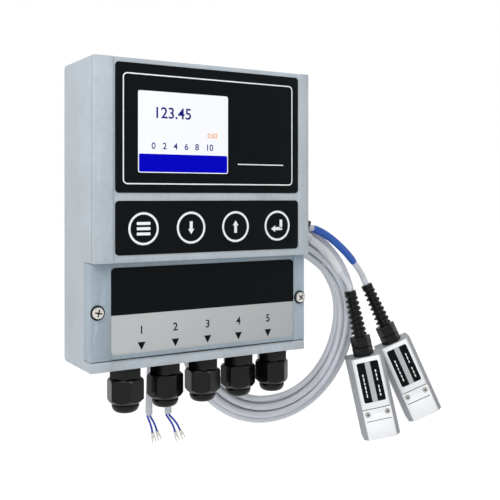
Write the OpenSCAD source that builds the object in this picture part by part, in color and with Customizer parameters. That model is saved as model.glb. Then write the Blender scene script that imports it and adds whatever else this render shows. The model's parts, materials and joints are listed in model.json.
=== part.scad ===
// Wall-mounted transit-time flow meter: transmitter housing with display, keys and
// five cable glands, two clamp-on transducers and their coiled cables.
// X runs to the right, Z up and Y towards the wall, whose face is Y = 0.

/* [Housing] */
// Width of the housing
box_w = 165; // [150:1:200]
// Height of the housing
box_h = 202; // [190:1:240]
// Depth from the front panel to the back of the housing
box_d = 57; // [50:1:80]
// Side and top wall
wall_t = 2.5; // [1.5:0.1:3.5]
// Floor that carries the cable glands
floor_t = 3; // [2:0.1:4]
// Back wall
back_t = 3; // [2:0.1:4]
// Corner radius of the side profile at the back
corner_r = 3; // [1:0.5:6]
// Height of the lip below the terminal cover
lip_h = 6.5; // [5:0.5:10]
// Wall of the lip
lip_t = 1.8; // [1.5:0.1:2]

/* [Front panel] */
// Height of the terminal part below the front panel
lower_h = 70; // [66:1:76]
// Plate behind the sunken middle of the panel
panel_t = 3; // [2:0.1:4]
// Width of the raised rail on the left
rail_left = 12.8; // [8:0.2:20]
// Width of the raised rail on the right
rail_right = 8.2; // [5:0.2:15]
// Height of the rails above the middle
rail_step = 0.8; // [0.6:0.1:1.5]
// Thickness of the gasket behind the panel
gasket_t = 0.8; // [0.5:0.1:2]
// Width of the gasket
gasket_w = 2; // [1:0.1:2.5]
// Length of the panel's return along its lower edge
return_len = 13; // [8:0.5:16]

/* [Overlays] */
// Thickness of the overlay films
film_t = 0.5; // [0.3:0.1:0.6]
// Corner radius of the films
film_r = 2.6; // [1:0.2:5]
// Bare strip between the left rail and the films
film_gap_left = 1.6; // [0.5:0.1:4]
// Bare strip between the right rail and the films
film_gap_right = 0.9; // [0.5:0.1:4]
// Gap above the display film
display_gap_top = 3; // [2:0.5:6]
// Gap between the two films
film_spacing = 5.2; // [3:0.2:8]
// Height of the keypad film
keypad_h = 35; // [30:1:38]
// Gap below the keypad film
keypad_gap_bottom = 4.8; // [3:0.2:8]

/* [Display] */
// Width of the display window
window_w = 66.3; // [60:0.1:75]
// Distance from the film's left edge to the window
window_left = 16; // [12:0.5:22]
// Distance from the film's top edge to the window
window_drop = 17.8; // [12:0.2:22]
// Distance from the film's lower edge to the window
window_rise = 13.5; // [10:0.1:20]
// Rim of the display module on each side of the window
lcd_rim_side = 5.35; // [2:0.05:9]
// Rim of the display module above and below the window
lcd_rim_end = 4.65; // [2.5:0.05:7]
// Depth of the display module's frame
lcd_frame_d = 6; // [4:0.5:8]

/* [Keys] */
// Diameter of a key
key_d = 21.8; // [18:0.2:24]
// Distance from the film's left edge to the first key centre
key_first = 19.6; // [14:0.2:24]
// Distance from the last key centre to the film's right edge
key_last = 18.1; // [14:0.1:24]
// Height of the key centres above the keypad film's lower edge
key_rise = 16.9; // [14:0.1:20]
// Travel of a key
key_travel = 0.4; // [0.2:0.05:0.6]
// Diameter of the key stem
key_stem_d = 7.6; // [5:0.2:10]
// Thickness of the key disc
key_disc_t = 1; // [0.8:0.1:1.2]
// Clearance around a key
key_gap = 0.2; // [0.1:0.05:0.3]

/* [Terminal cover] */
// Setback of the cover behind the front panel
cover_setback = 5.6; // [4:0.2:8]
// Depth of the cover's side flanges
cover_flange = 12.6; // [8:0.2:14]
// Plate behind the sunken middle of the cover
cover_t = 2; // [1.5:0.1:2.5]
// Thickness of the side flanges
flange_t = 1.3; // [1:0.1:1.4]
// Width of the cover's left rail
cover_rail_left = 13.6; // [12:0.2:20]
// Width of the cover's right rail
cover_rail_right = 9.3; // [9:0.1:15]
// Height of the label
label_h = 56.5; // [50:0.5:58]
// Height of the label's lower edge above the cover's lower edge
label_rise = 3.2; // [1.5:0.1:5]
// Corner radius of the label
label_r = 3; // [1:0.5:6]
// Distance from the cover's side edge to a screw
screw_inset = 4.4; // [4.4:0.1:4.6]
// Height of the screws above the cover's lower edge
screw_rise = 31.6; // [20:0.2:40]

/* [Fasteners] */
// Shank of a cover screw
cover_shank_d = 3.5; // [3:0.1:3.6]
// Head of a cover screw
cover_head_d = 7.7; // [7:0.1:8]
// Height of a cover screw's head
cover_head_h = 2.2; // [1.8:0.1:3]
// Outer diameter of the sealing washer
washer_d = 8.6; // [8.2:0.1:8.8]
// Thickness of the sealing washer
washer_t = 0.6; // [0.4:0.1:1]
// Length of a cover screw below the washer
cover_screw_len = 16; // [14:0.5:20]
// Shank of the small board and panel screws
small_shank_d = 3; // [2.5:0.1:3]
// Head of the small screws
small_head_d = 5.4; // [4.5:0.1:5.6]
// Height of the small screws' heads
small_head_h = 1.9; // [1.5:0.1:2]
// Clearance of a shank in its hole
shank_gap = 0.1; // [0.05:0.01:0.15]

/* [Cable glands] */
// Distance from the housing's left side to the first gland axis
gland_first = 29.2; // [20:0.2:30]
// Distance from the last gland axis to the housing's right side
gland_last = 19.8; // [19:0.2:30]
// Distance of the gland axes behind the front panel
gland_setback = 19.2; // [19.2:0.2:24]
// Width across flats of the gland body
gland_body_af = 20; // [18.8:0.1:21]
// Height of the gland body's hexagon
gland_body_h = 7.6; // [6:0.2:9]
// Width across flats of the cap nut
gland_nut_af = 22; // [21:0.1:22.5]
// Height of the cap nut's hexagon
gland_nut_h = 16; // [14:0.5:20]
// Diameter of the cap nut's domed end
dome_d = 18.6; // [17:0.1:19]
// Height of the domed end
dome_h = 6.2; // [5:0.2:8]
// Thread of the gland where it passes the floor
gland_thread_d = 18.6; // [17:0.1:18.6]
// Thread under the gland body that the cap nut runs on
nut_thread_d = 16.4; // [15:0.1:17]
// Bore that a cable enters
cable_bore_d = 10; // [8:0.1:10.5]
// Width across flats of the locknut
locknut_af = 21; // [20.6:0.1:21.2]
// Height of the locknut
locknut_h = 4; // [3:0.5:5]

/* [Wall bracket] */
// Distance from the housing's side to the bracket's edge
bracket_side = 12.5; // [10:0.5:18]
// Distance from the housing's top to the bracket's end
bracket_end = 15; // [11:0.5:20]
// Thickness of the wall bracket
bracket_t = 2.5; // [2:0.1:3]
// Corner radius of the wall bracket
bracket_r = 8; // [4:1:15]
// Distance from the bracket's edge to a wall screw
wall_hole_side = 10; // [7:0.5:14]
// Distance from the bracket's end to a wall screw
wall_hole_end = 11; // [7:0.5:14]
// Diameter of the wall screw holes
wall_hole_d = 5.5; // [4.5:0.1:6.5]
// Distance from the bracket's edge to a standoff
standoff_side = 20; // [18:0.5:23]
// Distance from the bracket's end to a standoff
standoff_end = 24; // [21:0.5:27]
// Gap between the bracket and the housing
standoff_len = 16; // [16:0.5:18]
// Width across flats of a standoff
standoff_af = 8; // [7:0.5:10]

/* [Transducers] */
// Length of a transducer
sensor_len = 68; // [62:0.5:80]
// Width of the contact face
sensor_back_w = 30.6; // [28:0.1:36]
// Width of the front face
sensor_front_w = 21.1; // [19:0.1:26]
// Thickness of a transducer
sensor_t = 24; // [22:0.5:25]
// Depth of the slanted flanks beside the front face
flank_depth = 6; // [4.5:0.1:9]
// Length of the raised block that carries the label
sensor_block_len = 42; // [38:0.5:46]
// Depth of the seat for the end cap
cap_seat = 3; // [2.6:0.1:4]
// Thickness of the end cap
cap_t = 1.8; // [1.4:0.1:2.2]
// Width of the end cap's pad
cap_pad_w = 21.4; // [18:0.2:21.6]
// Distance from the raised block to the end cap's pad
cap_pad_drop = 11; // [8:0.5:14]
// Height of the pad above the end cap
cap_pad_t = 0.8; // [0.4:0.1:1.1]
// Distance between the end cap's screws
cap_screw_pitch = 16.5; // [14:0.5:18]
// Width of the transducer's label
sensor_label_w = 18; // [15:0.5:19]
// Length of the transducer's label
sensor_label_len = 33.3; // [28:0.1:36]
// Thickness of the transducer's label
sensor_label_t = 0.4; // [0.2:0.1:0.6]
// Turn of the transducers towards the left
sensor_yaw = 31.4; // [20:0.1:35]
// Lean of the upstream transducer
lean_up = 12.3; // [8:0.1:16]
// Lean of the downstream transducer
lean_down = 24.2; // [20:0.1:28]

/* [Strain reliefs] */
// Width across flats of the transducer gland
relief_af = 15; // [14:0.1:16]
// Height of the gland hexagon on the transducer
relief_body_h = 7.3; // [6:0.1:8]
// Height of the nut's hexagon
relief_nut_h = 8.6; // [7:0.1:10]
// Length of the ribbed sleeve
relief_len = 39; // [34:0.5:44]
// Number of ribs
rib_count = 7; // [5:1:8]
// Thickness of a rib
rib_t = 2.3; // [1.8:0.1:2.6]
// Diameter of the lowest rib
rib_d_low = 13.2; // [12:0.1:14.5]
// Diameter of the topmost rib
rib_d_top = 11; // [10.5:0.1:12]
// Diameter of the sleeve between the ribs
relief_core_d = 8.6; // [8:0.1:9]
// Diameter of the end collar
relief_cap_d = 9.8; // [9:0.1:10.4]
// Length of the end collar
relief_cap_len = 5; // [4:0.1:6]

/* [Cables] */
// Diameter of the transducer cables
cable_d = 5.2; // [4.8:0.1:5.2]
// Smallest radius of the coil, at the middle of the cable
coil_r = 65; // [62:0.5:70]
// Distance between neighbouring strands of the coil
strand_pitch = 5.9; // [5.7:0.1:6]
// Distance between the two layers of the coil
layer_pitch = 5.8; // [5.8:0.1:6.2]
// Diameter of the sleeve on the upstream cable
sleeve_up_d = 6.8; // [6.2:0.1:7.2]
// Diameter of the sleeve on the downstream cable
sleeve_down_d = 6.4; // [6:0.1:7]
// Diameter of the insulated conductors
wire_d = 1.6; // [1.2:0.1:1.7]

/* [Hidden] */

$fn = 48;

// Running and seating clearances, and the overrun of a cut beyond its face
fit_gap = 0.3;
run_gap = 0.08;
overrun = 1;

// Planes of the housing, from the wall forwards
back_y = -(bracket_t + standoff_len);
front_y = back_y - box_d;
sunk_y = front_y + rail_step;
panel_back_y = sunk_y + panel_t;
upper_y = panel_back_y + gasket_t;
cover_y = front_y + cover_setback;
cover_sunk_y = cover_y + rail_step;
cover_back_y = cover_sunk_y + cover_t;
flange_y = cover_y + cover_flange;
inner_back_y = back_y - back_t;
left_x = -box_w / 2;
right_x = box_w / 2;
bottom_z = -box_h / 2;
top_z = box_h / 2;
panel_h = box_h - lower_h;
seam_z = top_z - panel_h;

// Films on the front panel
film_x = left_x + rail_left + film_gap_left;
film_w = box_w - rail_left - rail_right - film_gap_left - film_gap_right;
film_y = sunk_y - film_t;
display_h = panel_h - display_gap_top - film_spacing - keypad_h - keypad_gap_bottom;
display_z = top_z - display_gap_top - display_h;
keypad_z = seam_z + keypad_gap_bottom;
window_h = display_h - window_drop - window_rise;
window_x = film_x + window_left;
window_z = display_z + display_h - window_drop - window_h;
window_mid_x = window_x + window_w / 2;
window_mid_z = window_z + window_h / 2;
key_z = keypad_z + key_rise;
key_count = 4;
key_pitch = (film_w - key_first - key_last) / (key_count - 1);
function key_x(i) = film_x + key_first + i * key_pitch;

// Display stack behind the panel
lcd_glass_gap = 0.1;
lcd_border = 0.6;
pane_gap = 0.1;
board_t = 1.6;
lcd_frame_w = window_w + 2 * lcd_rim_side;
lcd_frame_h = window_h + 2 * lcd_rim_end;
lcd_front_y = panel_back_y + fit_gap;
lcd_back_y = lcd_front_y + lcd_frame_d;
display_board_y = lcd_back_y + fit_gap;
display_post_d = 5;
display_post_inset = 3.2;
display_post_side = 3.7;
display_board_side = 3.75;
display_board_drop = 14.9;
display_board_x = window_mid_x - lcd_frame_w / 2 - display_post_side - display_post_inset;
display_board_w = film_x + film_w - display_board_side - display_board_x;
display_board_z = keypad_z + fit_gap;
display_board_h = top_z - display_board_drop - display_board_z;
switch_w = 6;
switch_t = 3.2;
plunger_d = 3.4;
plunger_gap = 0.05;
switch_y = display_board_y - switch_t;
plunger_y = switch_y - fit_gap;
key_end_y = plunger_y - key_travel - plunger_gap;
key_pocket_d = key_d + 2 * key_gap;
key_pocket_y = film_y + key_disc_t + key_travel + key_gap;
display_post_low = 46;
display_post_drop = 14;
display_post_xs = [
    display_board_x + display_post_inset, display_board_x + display_board_w - display_post_inset
];
display_post_zs = [seam_z + display_post_low, display_board_z + display_board_h - display_post_drop];

// Screws of the front panel, hidden under the films
panel_screw_inset = 6;
panel_screw_low = 5;
panel_screw_x = film_w / 2 - panel_screw_inset;
panel_screw_mid_x = film_x + film_w / 2;
panel_screw_zs = [display_z + display_h - panel_screw_inset, keypad_z + panel_screw_low];
panel_screw_len = 12;
panel_post_d = 9;
panel_post_len = 16;

// Main board on posts of the back wall
main_board_side = 7;
main_board_rise = 12;
main_board_drop = 8.5;
main_board_w = box_w - 2 * (wall_t + main_board_side);
main_board_h = box_h - floor_t - main_board_rise - main_board_drop - wall_t;
board_post_h = 6;
board_post_d = 7;
board_post_inset = 6;
board_screw_len = 7;
board_hole_d = small_shank_d + 4 * shank_gap;
main_board_y = inner_back_y - board_post_h - board_t;
main_board_z = bottom_z + floor_t + main_board_rise;

// Terminal blocks above the glands
gland_count = 5;
gland_pitch = (box_w - gland_first - gland_last) / (gland_count - 1);
terminal_gap = 3.2;
terminal_w = gland_pitch - terminal_gap;
terminal_h = 15;
terminal_d = 13;
terminal_rise = 20;
terminal_ways = 4;
terminal_slot = 3.2;
terminal_slot_depth = 7;

// Ribbon between the boards
ribbon_w = 24;
ribbon_t = 1;
ribbon_rise = 22;
ribbon_z = seam_z + ribbon_rise;
ribbon_drop = 9;
header_w = 28;
header_h = 6;
header_d = 5;

// Cover fastening
cover_gap = 0.4;
cover_z = bottom_z + lip_h + cover_gap;
cover_h = seam_z - cover_gap - cover_z;
cover_screw_z = cover_z + screw_rise;
cover_screw_x = box_w / 2 - screw_inset;
recess_w_share = 0.15;
recess_l_share = 0.6;
head_top_share = 0.7;
boss_w = 7.6;
boss_h = 11;
boss_len = 14;
boss_end_y = flange_y + boss_len;
boss_front_y = cover_back_y + fit_gap;
label_w = box_w - cover_rail_left - cover_rail_right - fit_gap;
label_x = left_x + cover_rail_left + fit_gap / 2;

// Cable glands
gland_y = front_y + gland_setback;
gland_bore_d = 12;
gland_hole_gap = 0.1;
gland_pass = 6;
gland_shank_len = floor_t + locknut_h + gland_pass;
nut_gap = 0.6;
nut_start = gland_body_h + nut_gap;
nut_thread_len = 11;
nut_chamfer_share = 0.12;
dome_mouth_d = 11.4;
dome_round = 2.4;
seal_len = 9;
seal_lip = 1.6;
// Direction that each cap nut was left in when it was tightened
nut_turn_shares = [23, 40, 27, 36, 44] / 60;
hex_step = 60;
body_turn = 55;
function gland_x(i) = left_x + gland_first + i * gland_pitch;

// Bracket, standoffs and the coil's hanger
bracket_w = box_w - 2 * bracket_side;
bracket_h = box_h - 2 * bracket_end;
wall_hole_x = bracket_w - 2 * wall_hole_side;
wall_hole_z = bracket_h - 2 * wall_hole_end;
standoff_x = bracket_w - 2 * standoff_side;
standoff_z = bracket_h - 2 * standoff_end;
stand_bore_d = 4.2;
stand_screw_d = 4;
stand_screw_len = 9;
stand_head_d = 7.6;
stand_head_h = 2.4;
csk_h = 2;
hanger_t = 2;
hanger_lip = 5;
hanger_from = 102;
hanger_to = 140;
hanger_flange = 18;

// Coil: two cables wound side by side in two layers
coil_side = 10;
coil_rise = 14.5;
coil_x = right_x + coil_side;
coil_z = bottom_z + coil_rise;
coil_y = -(bracket_t + standoff_len / 2);
coil_loops = 3;
coil_start_angle = 90;
coil_end_angle = 150;
coil_turns = coil_loops + (coil_end_angle - coil_start_angle) / 360;
coil_steps = 24;
coil_sides = 6;
coil_run = 1.2 * cable_d;
climb_turns = 0.25;
heading_turns = 0.001;
start_turn_up = -1;
start_turn_down = -1.5;
cord_sides = 8;
cord_gap = 0.4;

// The tie draws the strands inward over this arc, most at its middle
sag = 7;
sag_arc = 120;
function sag_at(a) = a % 360 < sag_arc ? sag * pow(sin(180 * (a % 360) / sag_arc), 2) : 0;

// Tie around the coil beside the leads
tie_angle = 67.5;
tie_w = 5;
tie_t = 1;
tie_lag = (coil_start_angle - tie_angle) / 360;
tie_base = coil_r - sag_at(tie_angle);
tie_r_in = tie_base + 2 * strand_pitch * tie_lag - cable_d / 2 - cord_gap - fit_gap;
tie_turns = coil_loops + start_turn_up - tie_lag;
tie_r_out = tie_base + 2 * strand_pitch * tie_turns + cable_d / 2 + cord_gap;
tie_depth = layer_pitch + cable_d + 2 * cord_gap;

// Routes of the free stretches, chosen by hand. X and Z count from the coil's centre
coil_base = [coil_x, 0, coil_z];
function placed(way) = [for (p = way) coil_base + p];
mouth_side_up = 68.5;
mouth_front_up = 25.4;
mouth_rise_up = 18.9;
mouth_side_down = 99;
mouth_front_down = 9.8;
mouth_rise_down = 21.1;
up_mouth = coil_base + [mouth_side_up, -mouth_front_up, mouth_rise_up];
down_mouth = coil_base + [mouth_side_down, -mouth_front_down, mouth_rise_down];

// The leads follow the coil's radius, and pass through the tie in its front layer
function tied_point(out) = [
    coil_x + (coil_r + out) * cos(tie_angle),
    coil_y - layer_pitch / 2,
    coil_z + (coil_r + out) * sin(tie_angle)
];
lead_out_up = 8.2;
lead_out_down = 14.6;
lead_up_shares = [
    [0.937, -0.338, 0.537], [0.863, -0.311, 0.666], [0.769, -0.28, 0.791], [0.66, -0.246, 0.888],
    [0.546, -0.225, 0.966]
];
lead_down_shares = [
    [1.425, -0.142, 0.503], [1.294, -0.166, 0.638], [1.154, -0.194, 0.762], [0.997, -0.215, 0.882],
    [0.846, -0.222, 0.985], [0.698, -0.22, 1.063], [0.586, -0.22, 1.1]
];
lead_up_way = concat(placed(coil_r * lead_up_shares), [tied_point(lead_out_up)]);
lead_down_way = concat(placed(coil_r * lead_down_shares), [tied_point(lead_out_down)]);
tail_up_way = placed([
    [-89.1, -7.6, 26.5], [-95.1, -7.6, 14.5], [-100.5, -7.6, 1.5], [-104.1, -7.6, -12.5],
    [-105.7, -7.6, -27.5], [-106.3, -7.6, -42.5], [-106.8, -7.6, -57], [-106.8, -7.6, -64]
]);
tail_down_way = placed([
    [-83.5, -7.6, 23.9], [-86.9, -7.6, 12.5], [-89.3, -7.6, -2], [-90.6, -7.6, -16.5],
    [-91.2, -7.6, -31.5], [-91.2, -7.6, -45.5], [-91.2, -7.6, -58], [-91.2, -7.6, -65]
]);
wire_routes = [
    placed([
        [-107.9, -7.6, -64], [-107.9, -7.6, -65.7], [-106.4, -7.6, -69.5], [-105, -7.6, -73.5],
        [-104.1, -7.6, -77.7]
    ]),
    placed([
        [-105.7, -7.6, -64], [-105.7, -7.6, -65.7], [-103.7, -7.6, -69.1], [-101.9, -7.6, -72.9],
        [-100.4, -7.6, -77.1]
    ]),
    placed([
        [-92.4, -7.6, -65], [-92.4, -7.6, -66.7], [-89.7, -7.6, -70.7], [-87.1, -7.6, -75.1],
        [-85.5, -7.6, -79.7]
    ]),
    placed([
        [-90.1, -7.6, -65], [-90.1, -7.6, -66.7], [-86.9, -7.6, -70.3], [-83.7, -7.6, -74.5],
        [-81.3, -7.6, -79.2]
    ])
];
lug_barrel_d = 2.6;
lug_barrel_len = 3.2;
lug_fork_len = 4.4;
lug_fork_w = 3.2;
lug_fork_t = 0.8;
lug_slot_w = 1.4;

// Transducers
sensor_gland_end = relief_body_h + relief_nut_h + relief_len;
spigot_d = 11;
spigot_len = 7;
relief_thread_d = 10.4;
relief_thread_len = 6;
cavity_w = 12;
cavity_d = 15;
cavity_drop = 1;
cavity_rise = 5;
cavity_z0 = -sensor_len + cavity_rise;
cavity_z1 = -sensor_block_len - cavity_drop;
cap_pad_len = sensor_len - sensor_block_len - cap_pad_drop;
crystal_gap = 0.2;
cap_screw_d = 2.2;
cap_head_d = 3.6;
cap_head_h = 0.8;
cap_screw_len = 6;
cap_screw_down = 5;
cap_screw_drop = sensor_block_len + cap_screw_down;
label_drop = 3.5;
relief_core_taper = 2;
relief_nut_core_d = relief_core_d + relief_core_taper;

// Colours
paint = [0.74, 0.77, 0.79];
paint_dark = [0.60, 0.66, 0.70];
film_black = [0.07, 0.08, 0.09];
label_silver = [0.70, 0.72, 0.73];
nylon = [0.12, 0.13, 0.13];
rubber = [0.08, 0.08, 0.08];
steel = [0.78, 0.78, 0.76];
zinc = [0.62, 0.64, 0.66];
board_green = [0.08, 0.35, 0.20];
terminal_green = [0.18, 0.55, 0.28];
cable_grey = [0.76, 0.77, 0.81];
sleeve_white = [0.90, 0.90, 0.92];
wire_blue = [0.10, 0.22, 0.70];
sensor_silver = [0.86, 0.87, 0.89];
screen_white = [0.93, 0.95, 0.97];

// Plain shapes

// Rectangle with round corners, from its lower left corner
module round_rect(w, h, r) {
    translate([r, 0]) square([w - 2 * r, h]);
    translate([0, r]) square([w, h - 2 * r]);
    for (x = [r, w - r], y = [r, h - r]) translate([x, y]) circle(r);
}

// Plate in the XZ plane, from its lower left corner, growing from y0 to y1
module upright(x, z, y0, y1) {
    translate([x, y1, z]) rotate([90, 0, 0]) linear_extrude(y1 - y0) children();
}

// Block between two corners
module block(x0, x1, y0, y1, z0, z1) {
    translate([x0, y0, z0]) cube([x1 - x0, y1 - y0, z1 - z0]);
}

// Round bar along Y from y0 to y1
module bar_y(x, z, d, y0, y1) {
    translate([x, y1, z]) rotate([90, 0, 0]) cylinder(h = y1 - y0, d = d);
}

// Hexagon prism by its width across flats
module hex_bar(af, h) {
    cylinder(h = h, d = af / cos(30), $fn = 6);
}

// Hexagon prism whose corners are turned down at both ends
module turned_hex(af, h) {
    corner = af / cos(30);
    cut = nut_chamfer_share * af;
    intersection() {
        hex_bar(af, h);
        rotate_extrude() polygon([
            [0, 0], [corner / 2 - cut, 0], [corner / 2, cut], [corner / 2, h - cut],
            [corner / 2 - cut, h], [0, h]
        ]);
    }
}

// Pan head screw along Y, with its head towards the front at y
module pan_screw(x, y, z, shank_d, head_d, head_h, len) {
    bar_y(x, z, head_d, y - head_h, y);
    bar_y(x, z, shank_d, y, y + len);
}

// Cables

function unit(v) = v / norm(v);
function heading(pts, i) = unit(pts[min(i + 1, len(pts) - 1)] - pts[max(i - 1, 0)]);
function smooth(u) = u * u * (3 - 2 * u);
function climb(t) = smooth(max(0, min(1, (t + climb_turns) / (2 * climb_turns))));

// Points around one ring of a tube
function ring(pts, i, r, sides) =
    let (t = heading(pts, i), u = unit(cross(t, [0, 1, 0])), v = cross(u, t))
    [for (k = [0:sides - 1]) pts[i] + r * (u * cos(360 * k / sides) + v * sin(360 * k / sides))];

// Closed tube along the points from one index to another. Tubes that share a point of one path
// meet there face to face
module tube(pts, from, to, d, sides) {
    n = to - from + 1;
    skin = [for (i = [from:to]) each ring(pts, i, d / 2, sides)];
    function at(i, k) = i * sides + k % sides;
    side_faces = [
        for (i = [0:n - 2], k = [0:sides - 1])
            each [[at(i, k), at(i, k + 1), at(i + 1, k)], [at(i, k + 1), at(i + 1, k + 1), at(i + 1, k)]]
    ];
    start_faces = [for (k = [0:sides - 1]) [n * sides, at(0, k + 1), at(0, k)]];
    end_faces = [for (k = [0:sides - 1]) [n * sides + 1, at(n - 1, k), at(n - 1, k + 1)]];
    polyhedron(
        points = concat(skin, [pts[from], pts[to]]),
        faces = concat(side_faces, start_faces, end_faces)
    );
}

// One point of a cable in the coil: it spirals in, climbs to the other layer and spirals out
function coil_point(t, start_turn) =
    let (a = coil_start_angle + 360 * (t - start_turn), r = coil_r + 2 * strand_pitch * abs(t) - sag_at(a))
    [coil_x + r * cos(a), coil_y + (climb(t) - 0.5) * layer_pitch, coil_z + r * sin(a)];

// Straight runs carry the two ends of a coil on in the direction that the cable has there
function coil_points(start_turn) =
    let (
        n = round(coil_turns * coil_steps),
        end_turn = start_turn + coil_turns,
        first = coil_point(start_turn, start_turn),
        last = coil_point(end_turn, start_turn),
        way_in = unit(coil_point(start_turn + heading_turns, start_turn) - first),
        way_out = unit(last - coil_point(end_turn - heading_turns, start_turn))
    )
    concat(
        [first - coil_run * way_in],
        [for (i = [0:n]) coil_point(start_turn + coil_turns * i / n, start_turn)],
        [last + coil_run * way_out],
        [last + 2 * coil_run * way_out]
    );

// Direction in which a cable leaves a transducer
function cable_out(lean) = [-sin(lean) * cos(sensor_yaw), sin(lean) * sin(sensor_yaw), cos(lean)];

// Whole cables, from the transducer through the coil to the bare end
function cable_path(mouth, lean, lead_way, start_turn, tail_way) =
    concat([mouth, mouth + coil_run * cable_out(lean)], lead_way, coil_points(start_turn), tail_way);
path_up = cable_path(up_mouth, lean_up, lead_up_way, start_turn_up, tail_up_way);
path_down = cable_path(down_mouth, lean_down, lead_down_way, start_turn_down, tail_down_way);

// Indexes where lead, sleeve, coil and tail meet
sleeve_from_up = 2;
sleeve_from_down = 3;
coil_from_up = len(lead_up_way);
coil_from_down = len(lead_down_way);
tail_from_up = len(path_up) - len(tail_up_way) - 2;
tail_from_down = len(path_down) - len(tail_down_way) - 2;
end_up = len(path_up) - 1;
end_down = len(path_down) - 1;

function length_of(v, from, to) = from >= to ? 0 : norm(v[from + 1] - v[from]) + length_of(v, from + 1, to);
function gap_between(a, b) = min([for (p = a) min([for (q = b) norm(p - q)])]) - cable_d;
function gap_to_self(a) =
    min([for (i = [0:len(a) - 14]) min([for (j = [i + 13:len(a) - 1]) norm(a[i] - a[j])])]) - cable_d;

echo(
    gap_up = gap_to_self(path_up), gap_down = gap_to_self(path_down),
    gap_between_cables = gap_between(path_up, path_down)
);
echo(
    coil_length_up = length_of(path_up, coil_from_up, tail_from_up),
    coil_length_down = length_of(path_down, coil_from_down, tail_from_down),
    lead_up = length_of(path_up, 0, coil_from_up), lead_down = length_of(path_down, 0, coil_from_down),
    tail_up = length_of(path_up, tail_from_up, end_up),
    tail_down = length_of(path_down, tail_from_down, end_down)
);

// Housing

// Outline of the housing from the side, as front-to-back by height
module side_profile() {
    depth = back_y - flange_y;
    translate([flange_y, bottom_z]) {
        square([depth - corner_r, box_h]);
        translate([0, corner_r]) square([depth, box_h - 2 * corner_r]);
        for (z = [corner_r, box_h - corner_r]) translate([depth - corner_r, z]) circle(corner_r);
    }
    translate([upper_y, seam_z]) square([flange_y - upper_y + overrun, panel_h]);
    translate([cover_y, bottom_z]) square([flange_y - cover_y + overrun, lip_h]);
}

module corner_posts(d, y0, y1) {
    for (sx = [-1, 1], z = panel_screw_zs) bar_y(panel_screw_mid_x + sx * panel_screw_x, z, d, y0, y1);
}

module board_spots(d, y0, y1) {
    for (
        sx = [-1, 1],
        z = [main_board_z + board_post_inset, main_board_z + main_board_h - board_post_inset]
    ) bar_y(sx * (main_board_w / 2 - board_post_inset), z, d, y0, y1);
}

module standoff_spots(d, y0, y1) {
    for (sx = [-1, 1], sz = [-1, 1]) bar_y(sx * standoff_x / 2, sz * standoff_z / 2, d, y0, y1);
}

module rear_housing() {
    color(paint) difference() {
        union() {
            difference() {
                translate([left_x, 0, 0]) rotate([90, 0, 90]) linear_extrude(box_w) side_profile();
                block(
                    left_x + wall_t, right_x - wall_t, cover_sunk_y + lip_t, inner_back_y,
                    bottom_z + floor_t, top_z - wall_t
                );
                block(
                    left_x + wall_t, right_x - wall_t, upper_y - overrun, flange_y, seam_z - overrun,
                    top_z - wall_t
                );
                block(
                    left_x + cover_rail_left, right_x - cover_rail_right, cover_y - overrun, cover_sunk_y,
                    bottom_z - overrun, bottom_z + lip_h + overrun
                );
            }
            board_spots(board_post_d, inner_back_y - board_post_h, inner_back_y + overrun);
            for (side = [0, 1]) mirror([side, 0, 0]) block(
                right_x - flange_t - fit_gap - boss_w, right_x - flange_t - fit_gap, boss_front_y, boss_end_y,
                cover_screw_z - boss_h / 2, cover_screw_z + boss_h / 2
            );
            for (sx = [-1, 1], z = panel_screw_zs) {
                x = panel_screw_mid_x + sx * panel_screw_x;
                bar_y(x, z, panel_post_d, panel_back_y, panel_back_y + panel_post_len);
                block(
                    min(x, sx * box_w / 2 - sx * overrun), max(x, sx * box_w / 2 - sx * overrun),
                    upper_y, panel_back_y + panel_post_len, z - panel_post_d / 4, z + panel_post_d / 4
                );
            }
        }
        corner_posts(small_shank_d + 2 * shank_gap, panel_back_y - overrun, panel_back_y + panel_screw_len);
        board_spots(
            small_shank_d + 2 * shank_gap, inner_back_y - board_post_h - overrun, inner_back_y + fit_gap
        );
        standoff_spots(stand_screw_d + 2 * shank_gap, inner_back_y - overrun, back_y + overrun);
        for (sx = [-1, 1]) bar_y(
            sx * cover_screw_x, cover_screw_z, cover_shank_d + 2 * shank_gap, boss_front_y - overrun,
            boss_end_y - overrun
        );
        for (i = [0:gland_count - 1]) translate([gland_x(i), gland_y, bottom_z - overrun])
            cylinder(h = floor_t + 2 * overrun, d = gland_thread_d + 2 * gland_hole_gap);
    }
}

// Sunken middle between two rails, as a solid to take away from a plate
module sunk(y0, y1, from_left, from_right, z0, z1) {
    block(left_x + from_left, right_x - from_right, y0 - overrun, y1, z0 - overrun, z1 + overrun);
}

module front_panel() {
    color(paint) difference() {
        union() {
            difference() {
                block(left_x, right_x, front_y, panel_back_y, seam_z, top_z);
                sunk(front_y, sunk_y, rail_left, rail_right, seam_z, top_z);
            }
            block(
                left_x + wall_t + fit_gap, right_x - wall_t - fit_gap, panel_back_y - overrun,
                panel_back_y + return_len, seam_z, seam_z + wall_t
            );
            for (x = display_post_xs, z = display_post_zs)
                bar_y(x, z, display_post_d, panel_back_y - overrun, display_board_y);
        }
        block(
            window_x - lcd_border, window_x + window_w + lcd_border, sunk_y - overrun, panel_back_y + overrun,
            window_z - lcd_border, window_z + window_h + lcd_border
        );
        for (i = [0:key_count - 1]) {
            bar_y(key_x(i), key_z, key_pocket_d, sunk_y - overrun, key_pocket_y);
            bar_y(key_x(i), key_z, key_stem_d + 2 * key_gap, sunk_y, panel_back_y + overrun);
        }
        corner_posts(small_shank_d + 2 * shank_gap, front_y, panel_back_y + overrun);
        corner_posts(small_head_d + 2 * shank_gap, front_y, sunk_y + small_head_h);
        for (x = display_post_xs, z = display_post_zs)
            bar_y(x, z, small_shank_d - 2 * shank_gap, panel_back_y, display_board_y + overrun);
    }
}

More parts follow.
